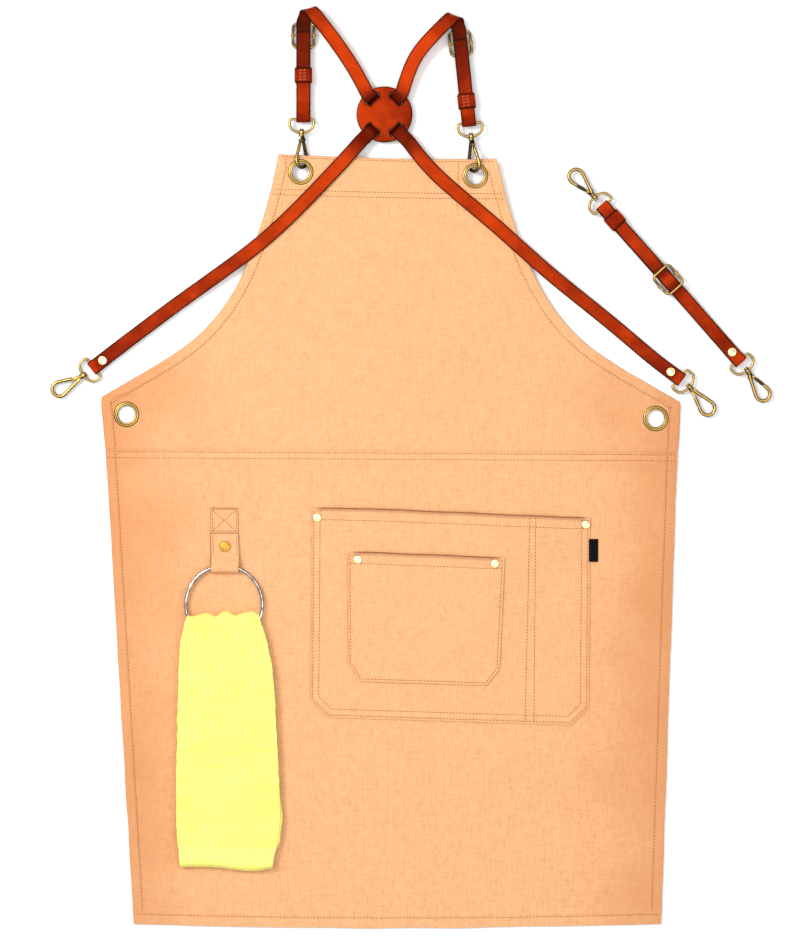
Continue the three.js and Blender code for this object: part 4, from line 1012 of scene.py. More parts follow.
def towel():
    """A hand towel folded in three along its length and hung over the ring, six layers deep."""
    fold_y = RING_AT.y - RING_RADIUS * 0.98 + 27.6
    fold_z = HINGE_Z + RING_TILT * 0.9
    drop = 291
    layer = 1.72
    sides = np.array(TOWEL_SIDE, float)

    def halves(down):
        return (float(np.interp(down, sides[:, 0], sides[:, 1])),
                float(np.interp(down, sides[:, 0], sides[:, 2])))

    across = [(k, j / 43) for k in range(3) for j in range(44)]
    band, grid = [], []
    for i in range(212):
        share = lerp(-1, 1, i / 211)
        front = share > 0
        down = abs(share) * drop
        left, right = halves(down)
        ease = smooth(down, 4, 46)
        core = lerp(RING_WIRE + 0.35, 0.12, ease)
        row = []
        for k, t in across:
            offset = core + layer * (k + 0.5)
            run = t if k % 2 == 0 else 1 - t
            tuck = (2.2 - 1.1 * k) + (0 if front else 1.0)
            flare = 3.4 * smooth(down, 196, 232) * (1 - smooth(down, 262, 286)) if k == 1 and front else 0
            x = lerp(-left + tuck, right - tuck + flare, run)
            x += (0.7 * hum(down, x, 9, k + 5) + 0.5 * hum(down, x, 3.5, k + 7)) * smooth(abs(2 * run - 1),
                                                                                          0.8, 1)
            swell = 0.0
            if k < 2 and t > 0.97 or k > 0 and t < 0.03:
                swell = 0.5 * layer * (1 if t > 0.5 else -1)
            ripple = 1.3 * hum(x, 4, 11, 1) * smooth(50 - down, 0, 50) + 0.8 * hum(x, down, 26, 2)
            dip = 8.0 * hum(x, 9, 15, 3) * smooth(34 - down, 0, 34)
            radius = offset + (ripple if k == 2 else 0) + swell
            bend = clamp(down / (pi / 2 * (core + layer * 1.5)))
            turn = bend * pi / 2
            y = fold_y + radius * cos(turn) * (1 if bend < 1 else 0) - max(0,
                    down - pi / 2 * (core + layer * 1.5)) + dip
            z = radius * sin(turn)
            wave = -5.2 * smooth(x, -20, 34) + 3.4 * smooth(x, 34, 60) + 0.8 * hum(x, 60, 24)
            y += wave * smooth(down, drop - 60, drop) - (0 if front else 3 * smooth(down, drop - 40, drop))
            settle = smooth(down, 60, 240) * 0.9
            z = fold_z + (z - settle if front else -z)
            z = max(z, 1.65 + layer * (2.5 - k) * 0.98) if not front else z
            row.append(vec(RING_AT.x + x, y, z))
        grid.append(row)
        band += [1.0 if front and drop - 22 < down < drop - 3 else 0.0] * len(row)
    count, wide = len(grid), len(grid[0])
    normals = []
    for i in range(count):
        for j in range(wide):
            a = grid[min(i + 1, count - 1)][j] - grid[max(i - 1, 0)][j]
            b = grid[i][min(j + 1, wide - 1)] - grid[i][max(j - 1, 0)]
            normals.append(a.cross(b).normalized())
    flat = [p for row in grid for p in row]
    top, under = [], []
    for p, n, b in zip(flat, normals, band):
        pile = 0.5 * layer * 0.92
        fuzz = 0.42 * noise.noise(p * 0.45) * (1 - b) + 0.36 * noise.noise(p * 1.1) * (1 - b)
        pile *= 1 - 0.3 * b
        top.append(p + n * (pile + fuzz))
        under.append(p - n * (pile - fuzz * 0.4))
    size = len(flat)
    faces = []
    for i in range(count - 1):
        for j in range(wide - 1):
            a = i * wide + j
            faces.append((a, a + 1, a + wide + 1, a + wide))
            faces.append(tuple(size + v for v in (a, a + wide, a + wide + 1, a + 1)))
    rim = [*range(wide), *[r * wide + wide - 1 for r in range(1, count)],
           *[(count - 1) * wide + c for c in range(wide - 2, -1, -1)], *[r * wide
                                                                         for r in range(count - 2, 0, -1)]]
    for a, b in zip(rim, rim[1:] + rim[:1]):
        faces.append((a, b, b + size, a + size))
    shells = Shells()
    shells.add([*top, *under], faces, band=band + band)
    piece = shells.make("towel_cloth", TERRY, "towel_on_ring", "towel", sharp=75)


# ---------------------------------------------------------------- the leather's ways, as in the solids

BAR_Z = bib_z(BIB_HEIGHT, CLOTH / 2 - (GAP + 0.6) / 2) - GAP


def hook_centre(place, shift):
    x, y = place
    edge = BIB_HEIGHT - BIB_SLOPE * x
    return vec(x + shift, (y + EYELET_BORE + edge) / 2 - 4 * GAP, BAR_Z)


UPRIGHTS = {
    "left": dict(towards=90, hook=hook_centre(EYELETS["left_bib"], 1.2), side=2, keeper=51.7, slider=98.9,
                 turn_at=120.5, turn_shift=2.4, turn_lean=80, crease=15, arrival=-59.6, arch=0),
    "right": dict(towards=96, hook=hook_centre(EYELETS["right_bib"], -1.5), side=-1, keeper=26.3, slider=95.2,
                  turn_at=117.5, turn_shift=-1.2, turn_lean=94.5, crease=159, arrival=-113, arch=-1.5),
}
LONG_Z = 2 * SLIDER_WIRE + 0.2 + GAP + LEATHER / 2
BAR_OVER_Z = LONG_Z + LEATHER / 2 + GAP + SLIDER_BAR
RETURN_Z = BAR_OVER_Z + SLIDER_BAR + GAP + LEATHER / 2
TURN_RADIUS = 7
DISC_MIDDLE = vec(DISC_AT[0], BIB_HEIGHT + DISC_AT[1])
DISC_LOW = 2 * (LEATHER + GAP) + GAP + 0.4
DISC_TOP = DISC_LOW + DISC_THICK
OVER_DISC = DISC_TOP + GAP + LEATHER / 2
UNDER_Z = {"left": 0.5 + LEATHER / 2, "right": 0.5 + LEATHER * 1.5 + GAP}
SLOT_DROP = [(-5, 1), (-2.3, 0.97), (-0.7, 0.64), (0.7, 0.34), (2.1, 0.03), (5, 0)]


def slot_at(side_x, side_y):
    return DISC_MIDDLE + vec(side_x * SLOT_OFF[0], side_y * SLOT_OFF[1])


def slot_run(side_x, side_y):
    return heading(-90 + (-1 if side_x * side_y > 0 else 1) * (90 - SLOT_TURN - 3))


def fold_over(centre, outwards, across, start, end, tone):
    stations = []
    for i in range(9):
        turn = radians(lerp(start, end, i / 8))
        at = centre + outwards * FOLD_RADIUS * cos(turn) + UP * FOLD_RADIUS * sin(turn)
        stations.append((at, across, tone))
    return stations


def through_disc(name):
    side = -1 if name == "left" else 1
    low = UNDER_Z[name]
    stations = []
    for slot, run, drops, sign in ((slot_at(side, 1), slot_run(side, 1), SLOT_DROP, 1),
                                   (slot_at(-side, -1), slot_run(-side, -1), SLOT_DROP[::-1], -1)):
        for distance, share in drops:
            stations.append((step(slot, run, sign * distance, z=lerp(low, OVER_DISC, share)), UP.cross(run),
                             0.3))
    return stations


def upright_frame(name):
    u = UPRIGHTS[name]
    along = heading(u["towards"])
    bar = step(u["hook"], along, HOOK_REACH + D_DEPTH)
    return along, bar, step(bar, along, 0, -u["side"])


def curve_through(points, spacing, ease=5):
    """Evenly spaced points on an eased curve, each with the level direction across it."""
    rows = [at for at, _, _ in resample([(p, vec(1, 0), 0.0) for p in points], spacing)]
    for _ in range(ease):
        inner = [(a + b * 2 + c) / 4 for a, b, c in zip(rows[1:-3], rows[2:-2], rows[3:-1])]
        rows = [*rows[:2], *inner, *rows[-2:]]
    made = []
    for i, at in enumerate(rows):
        along = rows[min(i + 1, len(rows) - 1)] - rows[max(i - 1, 0)]
        made.append((at, UP.cross(vec(along.x, along.y).normalized())))
    return made


def shoulder_stations(name):
    u = UPRIGHTS[name]
    along, _, bar = upright_frame(name)
    across = along.cross(UP)
    slider = u["slider"]

    def level(distance, z, tone):
        return (step(bar, along, distance, z=z), across, tone)

    stations = [level(slider + 4, RETURN_Z, 0.3), level(slider - 20, RETURN_Z, 0.38),
                level(slider - 45, RETURN_Z, 0.5),
                level(10, RETURN_Z, 0.7), level(4, bar.z + FOLD_RADIUS, 0.6)]
    stations += fold_over(bar, -along, across, 90, -90, 0.5)
    stations += [level(4, bar.z - FOLD_RADIUS, 0.4), level(10, LONG_Z, 0.4), level(slider - 20, LONG_Z, 0.3),
                 level(slider + 6, LONG_Z, 0.2), level(slider + 16, LONG_Z, 0.26)]
    start = step(bar, along, u["turn_at"], -u["turn_shift"], LONG_Z)
    incoming, crease = heading(u["turn_lean"]), heading(u["crease"])
    outwards = incoming - crease * incoming.dot(crease)
    climb = outwards.length
    outwards.normalize()
    creep = incoming.dot(crease) / climb
    end = start
    for i in range(13):
        turn = i / 12 * pi
        end = start + crease * creep * turn * TURN_RADIUS + outwards * sin(turn) * TURN_RADIUS \
            + UP * (1 - cos(turn)) * TURN_RADIUS
        tangent = (crease * creep + outwards * cos(turn) + UP * sin(turn)).normalized()
        inwards = UP * cos(turn) - outwards * sin(turn)
        stations.append((end, tangent.cross(inwards).normalized(), lerp(0.3, 0.62, i / 12)))
    leaving = crease * 2 * incoming.dot(crease) - incoming
    disc = through_disc(name)
    first = disc[0][0]
    into = disc[1][0] - first
    into = vec(into.x, into.y).normalized()
    arriving = heading(u["arrival"])

    def drop(share):
        return lerp(end.z, OVER_DISC, share)

    diagonal = curve_through([
        end, step(end, leaving, 14, z=drop(0.12)), step(first, arriving, -48, u["arch"], drop(0.5)),
        step(first, arriving, -20, z=drop(0.9)), step(first, into, -4, z=OVER_DISC + 0.1), first], 11)
    count = len(diagonal) - 1
    # painted highlight: the diagonal's tone rises along its middle, and it grows darker towards the disc
    for i, (at, side) in enumerate(diagonal[1:-1]):
        t = i / count
        stations.append((at, side, 0.72 + 0.2 * sin(t * pi) - 0.42 * smooth(t, 0.72, 1.0)))
    stations += disc
    last = disc[-1][0]
    out = last - disc[-2][0]
    out = vec(out.x, out.y).normalized()
    end = step(last, out, 2)
    stations.append((end, disc[-1][1], 0.34))
    return stations, end, out


BACK = {
    "left": dict(end=(-WAIST_HALF + 1, WAIST_RISE + 46.6), towards=217.8,
                 bends=[(0.08, 4), (0.17, 8.3), (0.33, 14.4), (0.44, 15.5), (0.59, 11.5), (0.73, 6.3),
                        (0.88, 2.6)]),
    "right": dict(end=(WAIST_HALF - 12.5, WAIST_RISE + 33.2), towards=-36.5,
                  bends=[(0.12, -8), (0.22, -8.6), (0.37, -7), (0.57, -7.4), (0.77, -3.4), (0.88, -2.4)]),
}


def back_stations(name, start, out):
    b = BACK[name]
    rivet_at = vec(*b["end"], LEATHER * 1.5 + GAP + 0.2)
    along = heading(b["towards"])
    chord = vec(rivet_at.x - start.x, rivet_at.y - start.y)
    length = chord.length
    chord.normalize()
    origin = vec(start.x, start.y)
    flat = [origin, step(origin, out, 12)] + [step(origin, chord, share * length, side) for share,
                                              side in b["bends"]]
    flat += [vec(*step(rivet_at, along, -24).xy), vec(*rivet_at.xy)]
    route = curve_through(flat, 12)
    last_over = max(i for i, (at, _) in enumerate(route)
                    if abs(at.x) < cloth_half(at.y) + 22 and at.y < BIB_HEIGHT + 25)
    stations = []
    for i, (at, across) in enumerate(route):
        clear = lerp(0.5, 1.4, smooth(at.y, BIB_HEIGHT - 120, BIB_HEIGHT - 60))
        over = bib_z(min(at.y, BIB_HEIGHT), CLOTH + clear + LEATHER / 2)
        if i <= last_over:
            z = max(over, OVER_DISC if at.y > BIB_HEIGHT + 2 else 0)
        else:
            z = lerp(over, rivet_at.z, smooth(i, last_over, last_over + 8))
        t = i / (len(route) - 1)
        tone = 0.34 + 0.5 * smooth(t, 0.0, 0.12) - 0.16 * smooth(t, 0.2, 0.6) - 0.12 * smooth(t, 0.85, 1.0)
        stations.append((vec(at.x, at.y, OVER_DISC if i == 0 else z), across, tone))
    across = UP.cross(along)
    bar = step(rivet_at, along, RIVET_TO_BAR, z=TABLE_Z)
    stations[-1] = (stations[-1][0], across, stations[-1][2])
    stations.append((step(rivet_at, along, 5), across, 0.62))
    stations += fold_over(bar, along, across, 90, -90, 0.8)
    low = LEATHER / 2 + 0.2
    stations += [(step(rivet_at, along, 5, z=low), across, 0.4),
                 (step(rivet_at, along, RIVET_TO_BAR - FOLD_TAIL, z=low), across, 0.4)]
    return stations, rivet_at, bar, along


# ---------------------------------------------------------------- harness pieces


def keeper(name, node, body, centre, along, low, high, laced):
    """A leather loop round two layers of strap."""
    shells = Shells()
    half = STRAP / 2 + 0.75
    wall = 1.3
    corner = 1.6
    inner = []
    for quarter, (sx, sz) in enumerate(((1, 1), (-1, 1), (-1, -1), (1, -1))):
        for k in range(5):
            turn = (quarter + k / 4) * pi / 2
            inner.append(vec(sx * (half - corner) + corner * cos(turn), 0,
                             (high - corner if sz > 0 else low + corner) + corner * sin(turn)))
    middle = vec(0, 0, (low + high) / 2)
    section = [(-0.5, 0.12), (-0.47, 0.75), (-0.42, 0.98), (-0.2, 1.0), (0, 1.02), (0.2, 1.0), (0.42, 0.98),
               (0.47, 0.75),
               (0.5, 0.12), (0.46, 0.0), (-0.46, 0.0)]
    near = [1.0, 0.8, 0.3, 0, 0, 0, 0.3, 0.8, 1.0, 1.0, 1.0]
    stations = []
    for i, p in enumerate(inner):
        run = (inner[(i + 1) % len(inner)] - inner[i - 1]).normalized()
        out = run.cross(vec(0, 1))
        if out.dot(p - middle) < 0:
            out = -out
        stations.append((p, vec(0, KEEPER_LONG), out * wall))
    points, faces = sweep(stations, section, closed=True)
    place = basis(along.cross(UP), along, UP, vec(centre.x, centre.y))
    shells.add(points, faces, place, edge=near * len(inner), tone=[0.56] * len(points))
    shells.make(name, WAXED, body, node)
    if laced:
        lacing = Shells()
        top = high + wall + 0.12
        for column in (-3.4, 1.4):
            for row in (-5.4, -1.8, 1.8, 5.4):
                ends = [place @ vec(column - 1.9, row - 0.5, top), place @ vec(column + 1.9, row + 0.5, top)]
                stitches(lacing, ends, pitch=9, length=5.0, radius=1.15)
        lacing.make(name + "_lacing", LACE, body, slot="leather")


def slider(name, key, body, centre, along, end_z, middle_z):
    across, half = SLIDER_HALF
    outline = []
    count = 14
    for quarter, (sx, sy) in enumerate(((1, 1), (-1, 1), (-1, -1), (1, -1))):
        for k in range(count + 1):
            turn = (quarter + k / count) * pi / 2
            outline.append((sx * (across - SLIDER_CORNER) + SLIDER_CORNER * cos(turn),
                            sy * (half - SLIDER_CORNER) + SLIDER_CORNER * sin(turn)))
        nxt = ((-1, 1), (-1, -1), (1, -1), (1, 1))[quarter]
        if quarter % 2 == 0:
            outline += [(lerp(sx, nxt[0], t) * (across - SLIDER_CORNER), sy * half)
                        for t in (0.2, 0.4, 0.6, 0.8)]
        else:
            outline += [(sx * across, lerp(sy, nxt[1], t) * (half - SLIDER_CORNER))
                        for t in np.linspace(0.1, 0.9, 9)]
    path = [vec(x, y, lerp(end_z, middle_z, cos(pi * y / (2 * half)) ** 2)) for x, y in outline]
    place = basis(along.cross(UP), along, UP, vec(centre.x, centre.y))
    shells = Shells()
    points, faces = tube(path, 1.6, 14, closed=True)
    shells.add(points, faces, place)
    for side in (-1, 1):
        knob = [(2.3 * sin(pi * k / 12), -2.3 * cos(pi * k / 12)) for k in range(13)]
        points, faces = lathe([(max(r, 0), h) for r, h in knob], 18)
        shells.add(points, faces, place @ Matrix.Translation(vec(side * (across + 0.2), 0, middle_z)))
    reach = across - 0.5
    points, faces = tube([vec(x, 0, middle_z) for x in np.linspace(-reach, reach, 5)], SLIDER_BAR, 12)
    shells.add(points, faces, place)
    return shells.make(name, BRASS, body, key + "_frame", key + "_bar")


def d_ring(name, node, body, place):
    shells = Shells()
    corner, side = 2.6, 3.4
    turns = np.linspace(0, pi / 2, 7)
    half = [vec(0, a) for a in np.linspace(0, D_HALF - corner, 6)]
    half += [vec(corner - corner * cos(t), D_HALF - corner + corner * sin(t)) for t in turns[1:]]
    half += [vec(corner + side * t, D_HALF + 0.3 * sin(t * pi)) for t in (0.35, 0.7)]
    reach = D_DEPTH - corner - side
    half += [vec(corner + side + reach * sin(t) ** 0.92, D_HALF * cos(t) ** 0.96)
             for t in np.linspace(0, pi / 2, 20)[:-1]]
    path = [*half, vec(D_DEPTH, 0), *[vec(p.x, -p.y) for p in reversed(half[1:])]]
    path = [vec(p.x - D_DEPTH, p.y) for p in path]
    points, faces = tube(path, 1.48, 16, closed=True)
    shells.add(points, faces, place)
    length = D_BOSS[1]
    boss = [(POST + 0.35, -length / 2), (2.8, -length / 2), (D_BOSS[0], -length / 2 + 0.5),
            (D_BOSS[0], length / 2 - 0.5),
            (2.8, length / 2), (POST + 0.35, length / 2)]
    points, faces = lathe(boss, 24, closed=True)
    shells.add(points, faces, place @ Matrix.Rotation(pi / 2, 4, "Y"))
    return shells.make(name, BRASS, body, node)


def hook_path():
    flare = radians(HOOK_FLARE)
    base = (HOOK_RADIUS - (HOOK_REACH - HOOK_BASE) * sin(flare)) / cos(flare)
    path = [vec(5.6, -base * 0.25), vec(7.4, -base * 0.75), vec(HOOK_BASE, -base)]
    reach = pi / 2 + flare
    first = vec(HOOK_REACH + HOOK_RADIUS * cos(-reach), HOOK_RADIUS * sin(-reach))
    path += [path[2].lerp(first, t) for t in (0.2, 0.4, 0.6, 0.8)]
    path += [vec(HOOK_REACH + HOOK_RADIUS * cos(t), HOOK_RADIUS * sin(t))
             for t in np.linspace(-reach, reach, 34)]
    out = vec(cos(flare), sin(flare))
    path += [path[-1] - out * HOOK_NOSE * t for t in (0.3, 0.6, 0.85, 1.0)]
    return path


def hook(name, node, body, place, shaded):
    """A snap hook's swivel, root and bent arm; shaded darkens the leg that lies under the cloth."""
    shells = Shells()
    spin = [(0, -4.4), (1.5, -4.35), (2.5, -3.9), (2.8, -3.2), (2.6, -2.5), (1.9, -2.1), (POST, -1.9),
            (POST, 1.9),
            (2.4, 2.05), (3.0, 2.4), (3.0, 3.2), (2.75, 3.5), (3.0, 3.8), (3.0, 4.4), (2.4, 4.9), (0, 5.0)]
    points, faces = lathe(spin, 28)
    shells.add(points, faces, place @ Matrix.Rotation(pi / 2, 4, "Y"))
    root = [vec(4.3, 1.9), vec(7.2, 3.3), vec(11.0, 3.2), vec(11.6, 1.4), vec(9.6, -4.6), vec(8.2, -4.9),
            vec(4.3, -2.1)]
    work = bmesh.new()
    lower = [work.verts.new(p - UP * 1.85) for p in root]
    work.faces.new(lower)
    bmesh.ops.solidify(work, geom=list(work.faces), thickness=-3.7)
    bmesh.ops.recalc_face_normals(work, faces=work.faces)
    bmesh.ops.bevel(work, geom=list(work.edges), offset=0.6, offset_type="OFFSET", segments=3, profile=0.5,
                    affect="EDGES", material=-1)
    work.verts.index_update()
    shells.add([v.co.copy() for v in work.verts], [tuple(v.index for v in face.verts)
                                                   for face in work.faces], place)
    work.free()
    path = hook_path()
    count = len(path)
    radii = [2.0, 2.1] + [2.0] * (count - 4) + [1.95, 1.75]
    points, faces = tube(path, radii, 16, flat=0.97)
    shells.add(points, faces, place, shade=[1.0 - smooth(i // 16, count * 0.35,
                                                         count * 0.5) if shaded else 0.0
                                            for i in range(len(points))])
    pin = [(0, -2.3), (1.5, -2.2), (1.9, -1.7), (1.9, 1.7), (1.5, 2.2), (1.1, 2.1), (0.9, 2.35), (0, 2.4)]
    points, faces = lathe(pin, 20)
    shells.add(points, faces, place @ Matrix.Translation(vec(*GATE_PIN)))
    return shells.make(name, BRASS, body, node)


def gate(name, node, body, place, leads):
    pin = vec(*GATE_PIN)
    along = hook_path()[-1] - pin
    length = along.length - 0.45
    turn = Matrix.Translation(pin) @ Matrix.Rotation(atan2(along.y, along.x), 4, "Z")
    shells = Shells()
    points, faces = lathe([(1.25, -0.7), (2.1, -0.7), (2.1, 0.7), (1.25, 0.7)], 20, closed=True)
    shells.add(points, faces, place @ turn)
    points, faces = round_box((1.9, -1.4, -0.7), (4.6, 1.4, 0.7), 0.2, 2)
    shells.add(points, faces, place @ turn)
    path = [vec(x, 0) for x in np.linspace(3.6, length, 12)]
    bulge = [1.5, 1.85] + [1.98] * 8 + [1.9, 1.7]
    points, faces = tube(path, bulge, 16)
    shells.add(points, faces, place @ turn)
    points, faces = lathe([(1.5, -0.3), (2.1, -0.2), (2.1, 0.2), (1.5, 0.3)], 20, closed=True)
    spot = Matrix.Translation(vec(length - 3.2, 0)) @ Matrix.Rotation(pi / 2, 4, "Y")
    shells.add(points, faces, place @ turn @ spot)
    # a gate that doesn't lead gets the shaded brass, a painted-shade copy of the brass
    return shells.make(name, BRASS if leads else DARK_BRASS, body, node)


WAIST_SWING = {"left": (0, -8), "right": (-4, -9)}  # how far the free D-rings and hooks lie out of line


def hardware(key, dee_body, bar, direction, roll, swing=(0, 0)):
    turned = direction.copy()
    turned.rotate(Matrix.Rotation(radians(swing[0]), 3, "Z"))
    boss = step(bar, turned, D_DEPTH)
    flat = basis(turned, left_of(turned), UP, boss)
    rolled = flat @ Matrix.Rotation(radians(swing[1]), 4, "Z") @ Matrix.Rotation(radians(roll), 4, "X")
    bib = key.endswith("bib")
    d_ring(key + "_dee_wire", key + "_d_ring", dee_body, flat)
    hook(key + "_snap_body", key + "_hook", key + "_snap_hook", rolled, bib)
    gate(key + "_snap_gate_bar", key + "_gate", key + "_snap_gate", rolled, bib or roll == 180)


def cross_disc():
    """A domed leather disc with four slots."""
    radius = DISC_RADIUS
    profile = [(0.0, 0.55), (8, 0.52), (16, 0.42), (24, 0.24), (29, 0.08), (31.4, -0.12),
               (radius - 0.5, -0.45),
               (radius, -1.0), (radius, -DISC_THICK + 0.5), (radius - 0.5, -DISC_THICK), (24, -DISC_THICK),
               (12, -DISC_THICK), (0, -DISC_THICK)]
    points, faces = lathe(profile, 96)
    blank = Shells()
    blank.add(points, faces, Matrix.Translation(vec(DISC_MIDDLE.x, DISC_MIDDLE.y, DISC_TOP)))
    disc = blank.make("leather_disc", WAXED, None)
    cutter = Shells()
    for side_x, side_y in ((-1, 1), (1, 1), (-1, -1), (1, -1)):
        run = slot_run(side_x, side_y)
        place = basis(run.cross(UP), run, UP, vec(*slot_at(side_x, side_y).xy))
        half = STRAP / 2 + 0.9
        points, faces = round_box((-half, -SLOT_GAP / 2, DISC_LOW - 2), (half, SLOT_GAP / 2, DISC_TOP + 3),
                                  0.9, 2)
        cutter.add(points, faces, place)
    tool = cutter.make("slot_cutter", WAXED, None)
    cut = disc.modifiers.new("slots", "BOOLEAN")
    cut.operation, cut.object, cut.solver = "DIFFERENCE", tool, "EXACT"
    bpy.context.view_layer.update()
    mesh = bpy.data.meshes.new_from_object(disc.evaluated_get(bpy.context.evaluated_depsgraph_get()))
    disc.modifiers.clear()
    disc.data = mesh
    bpy.data.objects.remove(tool)
    work = bmesh.new()
    work.from_mesh(mesh)
    bmesh.ops.triangulate(work, faces=[f for f in work.faces if len(f.verts) > 4])
    work.to_mesh(mesh)
    work.free()
    mesh.shade_smooth()
    mesh.set_sharp_from_angle(angle=radians(32))
    near, tone = [], []
    for v in mesh.vertices:
        p = vec(v.co.x * 1000, v.co.y * 1000 - SEAM_AT, v.co.z * 1000)
        away = vec(*(p - DISC_MIDDLE).xy)
        slots = min((abs((vec(*(p - slot_at(sx, sy)).xy)).dot(slot_run(sx, sy))) - SLOT_GAP / 2
                     + 20 * max(0, abs((vec(*(p - slot_at(sx, sy)).xy)).dot(slot_run(sx, sy).cross(UP)))
                                - 9.4))
                    for sx, sy in ((-1, 1), (1, 1), (-1, -1), (1, -1)))
        rim = clamp((away.length - radius + 1.1) / 0.9)
        inside = 1.0 if p.z < DISC_TOP - 1.2 and away.length < radius - 1 else 0.0
        near.append(max(rim, 0.75 * clamp(1 - slots / 0.5), inside * 0.8))
        # painted light: the disc's tone is lighter on its lit left side and darker on its shaded right side
        tone.append(0.72 + 0.1 * smooth(-away.x, 0, radius) - 0.2 * smooth(away.x, 8, radius))
    for key, values in (("edge", near), ("tone", tone)):
        held = mesh.attributes.get(key) or mesh.attributes.new(key, "FLOAT", "POINT")
        held.data.foreach_set("value", np.array(values, np.float32))
    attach(disc, "harness")
    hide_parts("cross_disc")


def row_point(p):
    return (p.x * 0.001, (p.y + SEAM_AT) * 0.001, p.z * 0.001)


def harness():
    cross_disc()
    for name, other in (("left", "right"), ("right", "left")):
        u = UPRIGHTS[name]
        along, bar, strap_bar = upright_frame(name)
        front, end, out = shoulder_stations(name)
        back, rivet_at, back_bar, back_along = back_stations(other, step(end, out, GAP), out)
        shells = Shells()
        strap(shells, front + back[1:])
        piece = shells.make(f"{name}_to_{other}_strap", WAXED, None)
        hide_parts(f"{name}_shoulder_strap", f"{other}_back_strap")
        fold_at = end + UP * LEATHER / 2
        row_point(fold_at - out * 3)
        row_point(fold_at + out * 9)
        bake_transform(piece)
        keeper(f"{name}_strap_keeper", f"{name}_keeper", f"{name}_keeper_loop",
               step(strap_bar, along, u["keeper"]),
               along, LONG_Z - LEATHER / 2 - 0.5, RETURN_Z + LEATHER / 2 + 0.5, True)
        slider(f"{name}_slider_buckle", f"{name}_slider", f"{name}_slider",
               step(strap_bar, along, u["slider"]), along,
               SLIDER_WIRE + 0.2, BAR_OVER_Z)
        hardware(f"{name}_bib", "harness", bar, -along, 135 if name == "left" else 45)
        rivet(f"{other}_strap_cap", rivet_at + UP * (LEATHER / 2 + 0.3), 5.2, 1.9, f"{other}_back",
              f"{other}_strap_rivet")
        hardware(f"{other}_waist", f"{other}_waist_dee", back_bar, back_along, 180, WAIST_SWING[other])


EXTENSION_BAR = (WAIST_HALF - 91.8, WAIST_RISE + 226.8)
EXTENSION_TOWARDS = -48.4
EXTENSION = dict(keeper=20.7, slider=114.4, rivet=227.9)


def extension():
    along = heading(EXTENSION_TOWARDS)
    across = UP.cross(along)
    low = 1.3 + 2 * GAP + 0.2 + LEATHER / 2
    bar = vec(*EXTENSION_BAR, low + FOLD_RADIUS)
    under_bar = low + LEATHER / 2 + GAP + SLIDER_BAR
    top = under_bar + SLIDER_BAR + GAP + LEATHER / 2
    end_bars = top + LEATHER / 2 + GAP + SLIDER_WIRE
    s, r = EXTENSION["slider"], EXTENSION["rivet"]

    def level(distance, z, tone):
        return (step(bar, along, distance, z=z), across, tone)

    stations = [level(s + 16, low, 0.3), level(s - 20, low, 0.3), level(6, low, 0.4)]
    stations += fold_over(bar, -along, across, -90, 90, 0.82)
    # painted highlight where the strap bulges up inside the slider frame, with painted shade either side
    # where it dips under the end bars
    stations += [level(6, bar.z + FOLD_RADIUS, 0.72), level(12, top, 0.6), level(s * 0.5, top, 0.8),
                 level(s - 20, top, 0.55),
                 level(s - 12, top, 0.35), level(s, top + 0.1, 0.85), level(s + 13, top, 0.3), level(s + 30,
                         top, 0.66)]
    rivet_z = LEATHER * 1.5 + GAP + 0.2
    for k in range(7):
        t = (k + 1) / 7
        stations.append(level(lerp(s + 30, r - 14, t), lerp(top, rivet_z, smooth(t)), 0.7 - 0.15 * t))
    stations += [level(r, rivet_z, 0.7), level(r + 5, rivet_z, 0.75)]
    far_bar = step(bar, along, r + RIVET_TO_BAR, z=TABLE_Z)
    stations += fold_over(far_bar, along, across, 90, -90, 0.85)
    stations += [level(r + 5, LEATHER / 2 + 0.2, 0.4),
                 level(r + RIVET_TO_BAR - FOLD_TAIL, LEATHER / 2 + 0.2, 0.4)]
    shells = Shells()
    strap(shells, stations)
    shells.make("loose_strap", WAXED, "extension", "extension_strap")
    keeper("loose_strap_keeper", "extension_keeper", "extension_keeper_loop",
           step(bar, along, EXTENSION["keeper"]), along,
           low - LEATHER / 2 - 0.5, top + LEATHER / 2 + 0.5, False)
    slider("loose_slider_buckle", "extension_slider", "extension_slider", step(bar, along, s), along,
           end_bars, under_bar)
    hardware("extension_upper", "extension_upper_dee", bar, -along, 0)
    rivet("loose_strap_cap", step(bar, along, r, z=rivet_z + LEATHER / 2 + 0.3), 5.2, 1.9, "extension",
          "extension_rivet")
    hardware("extension_lower", "extension_lower_dee", far_bar, along, 0, (-3, -5))


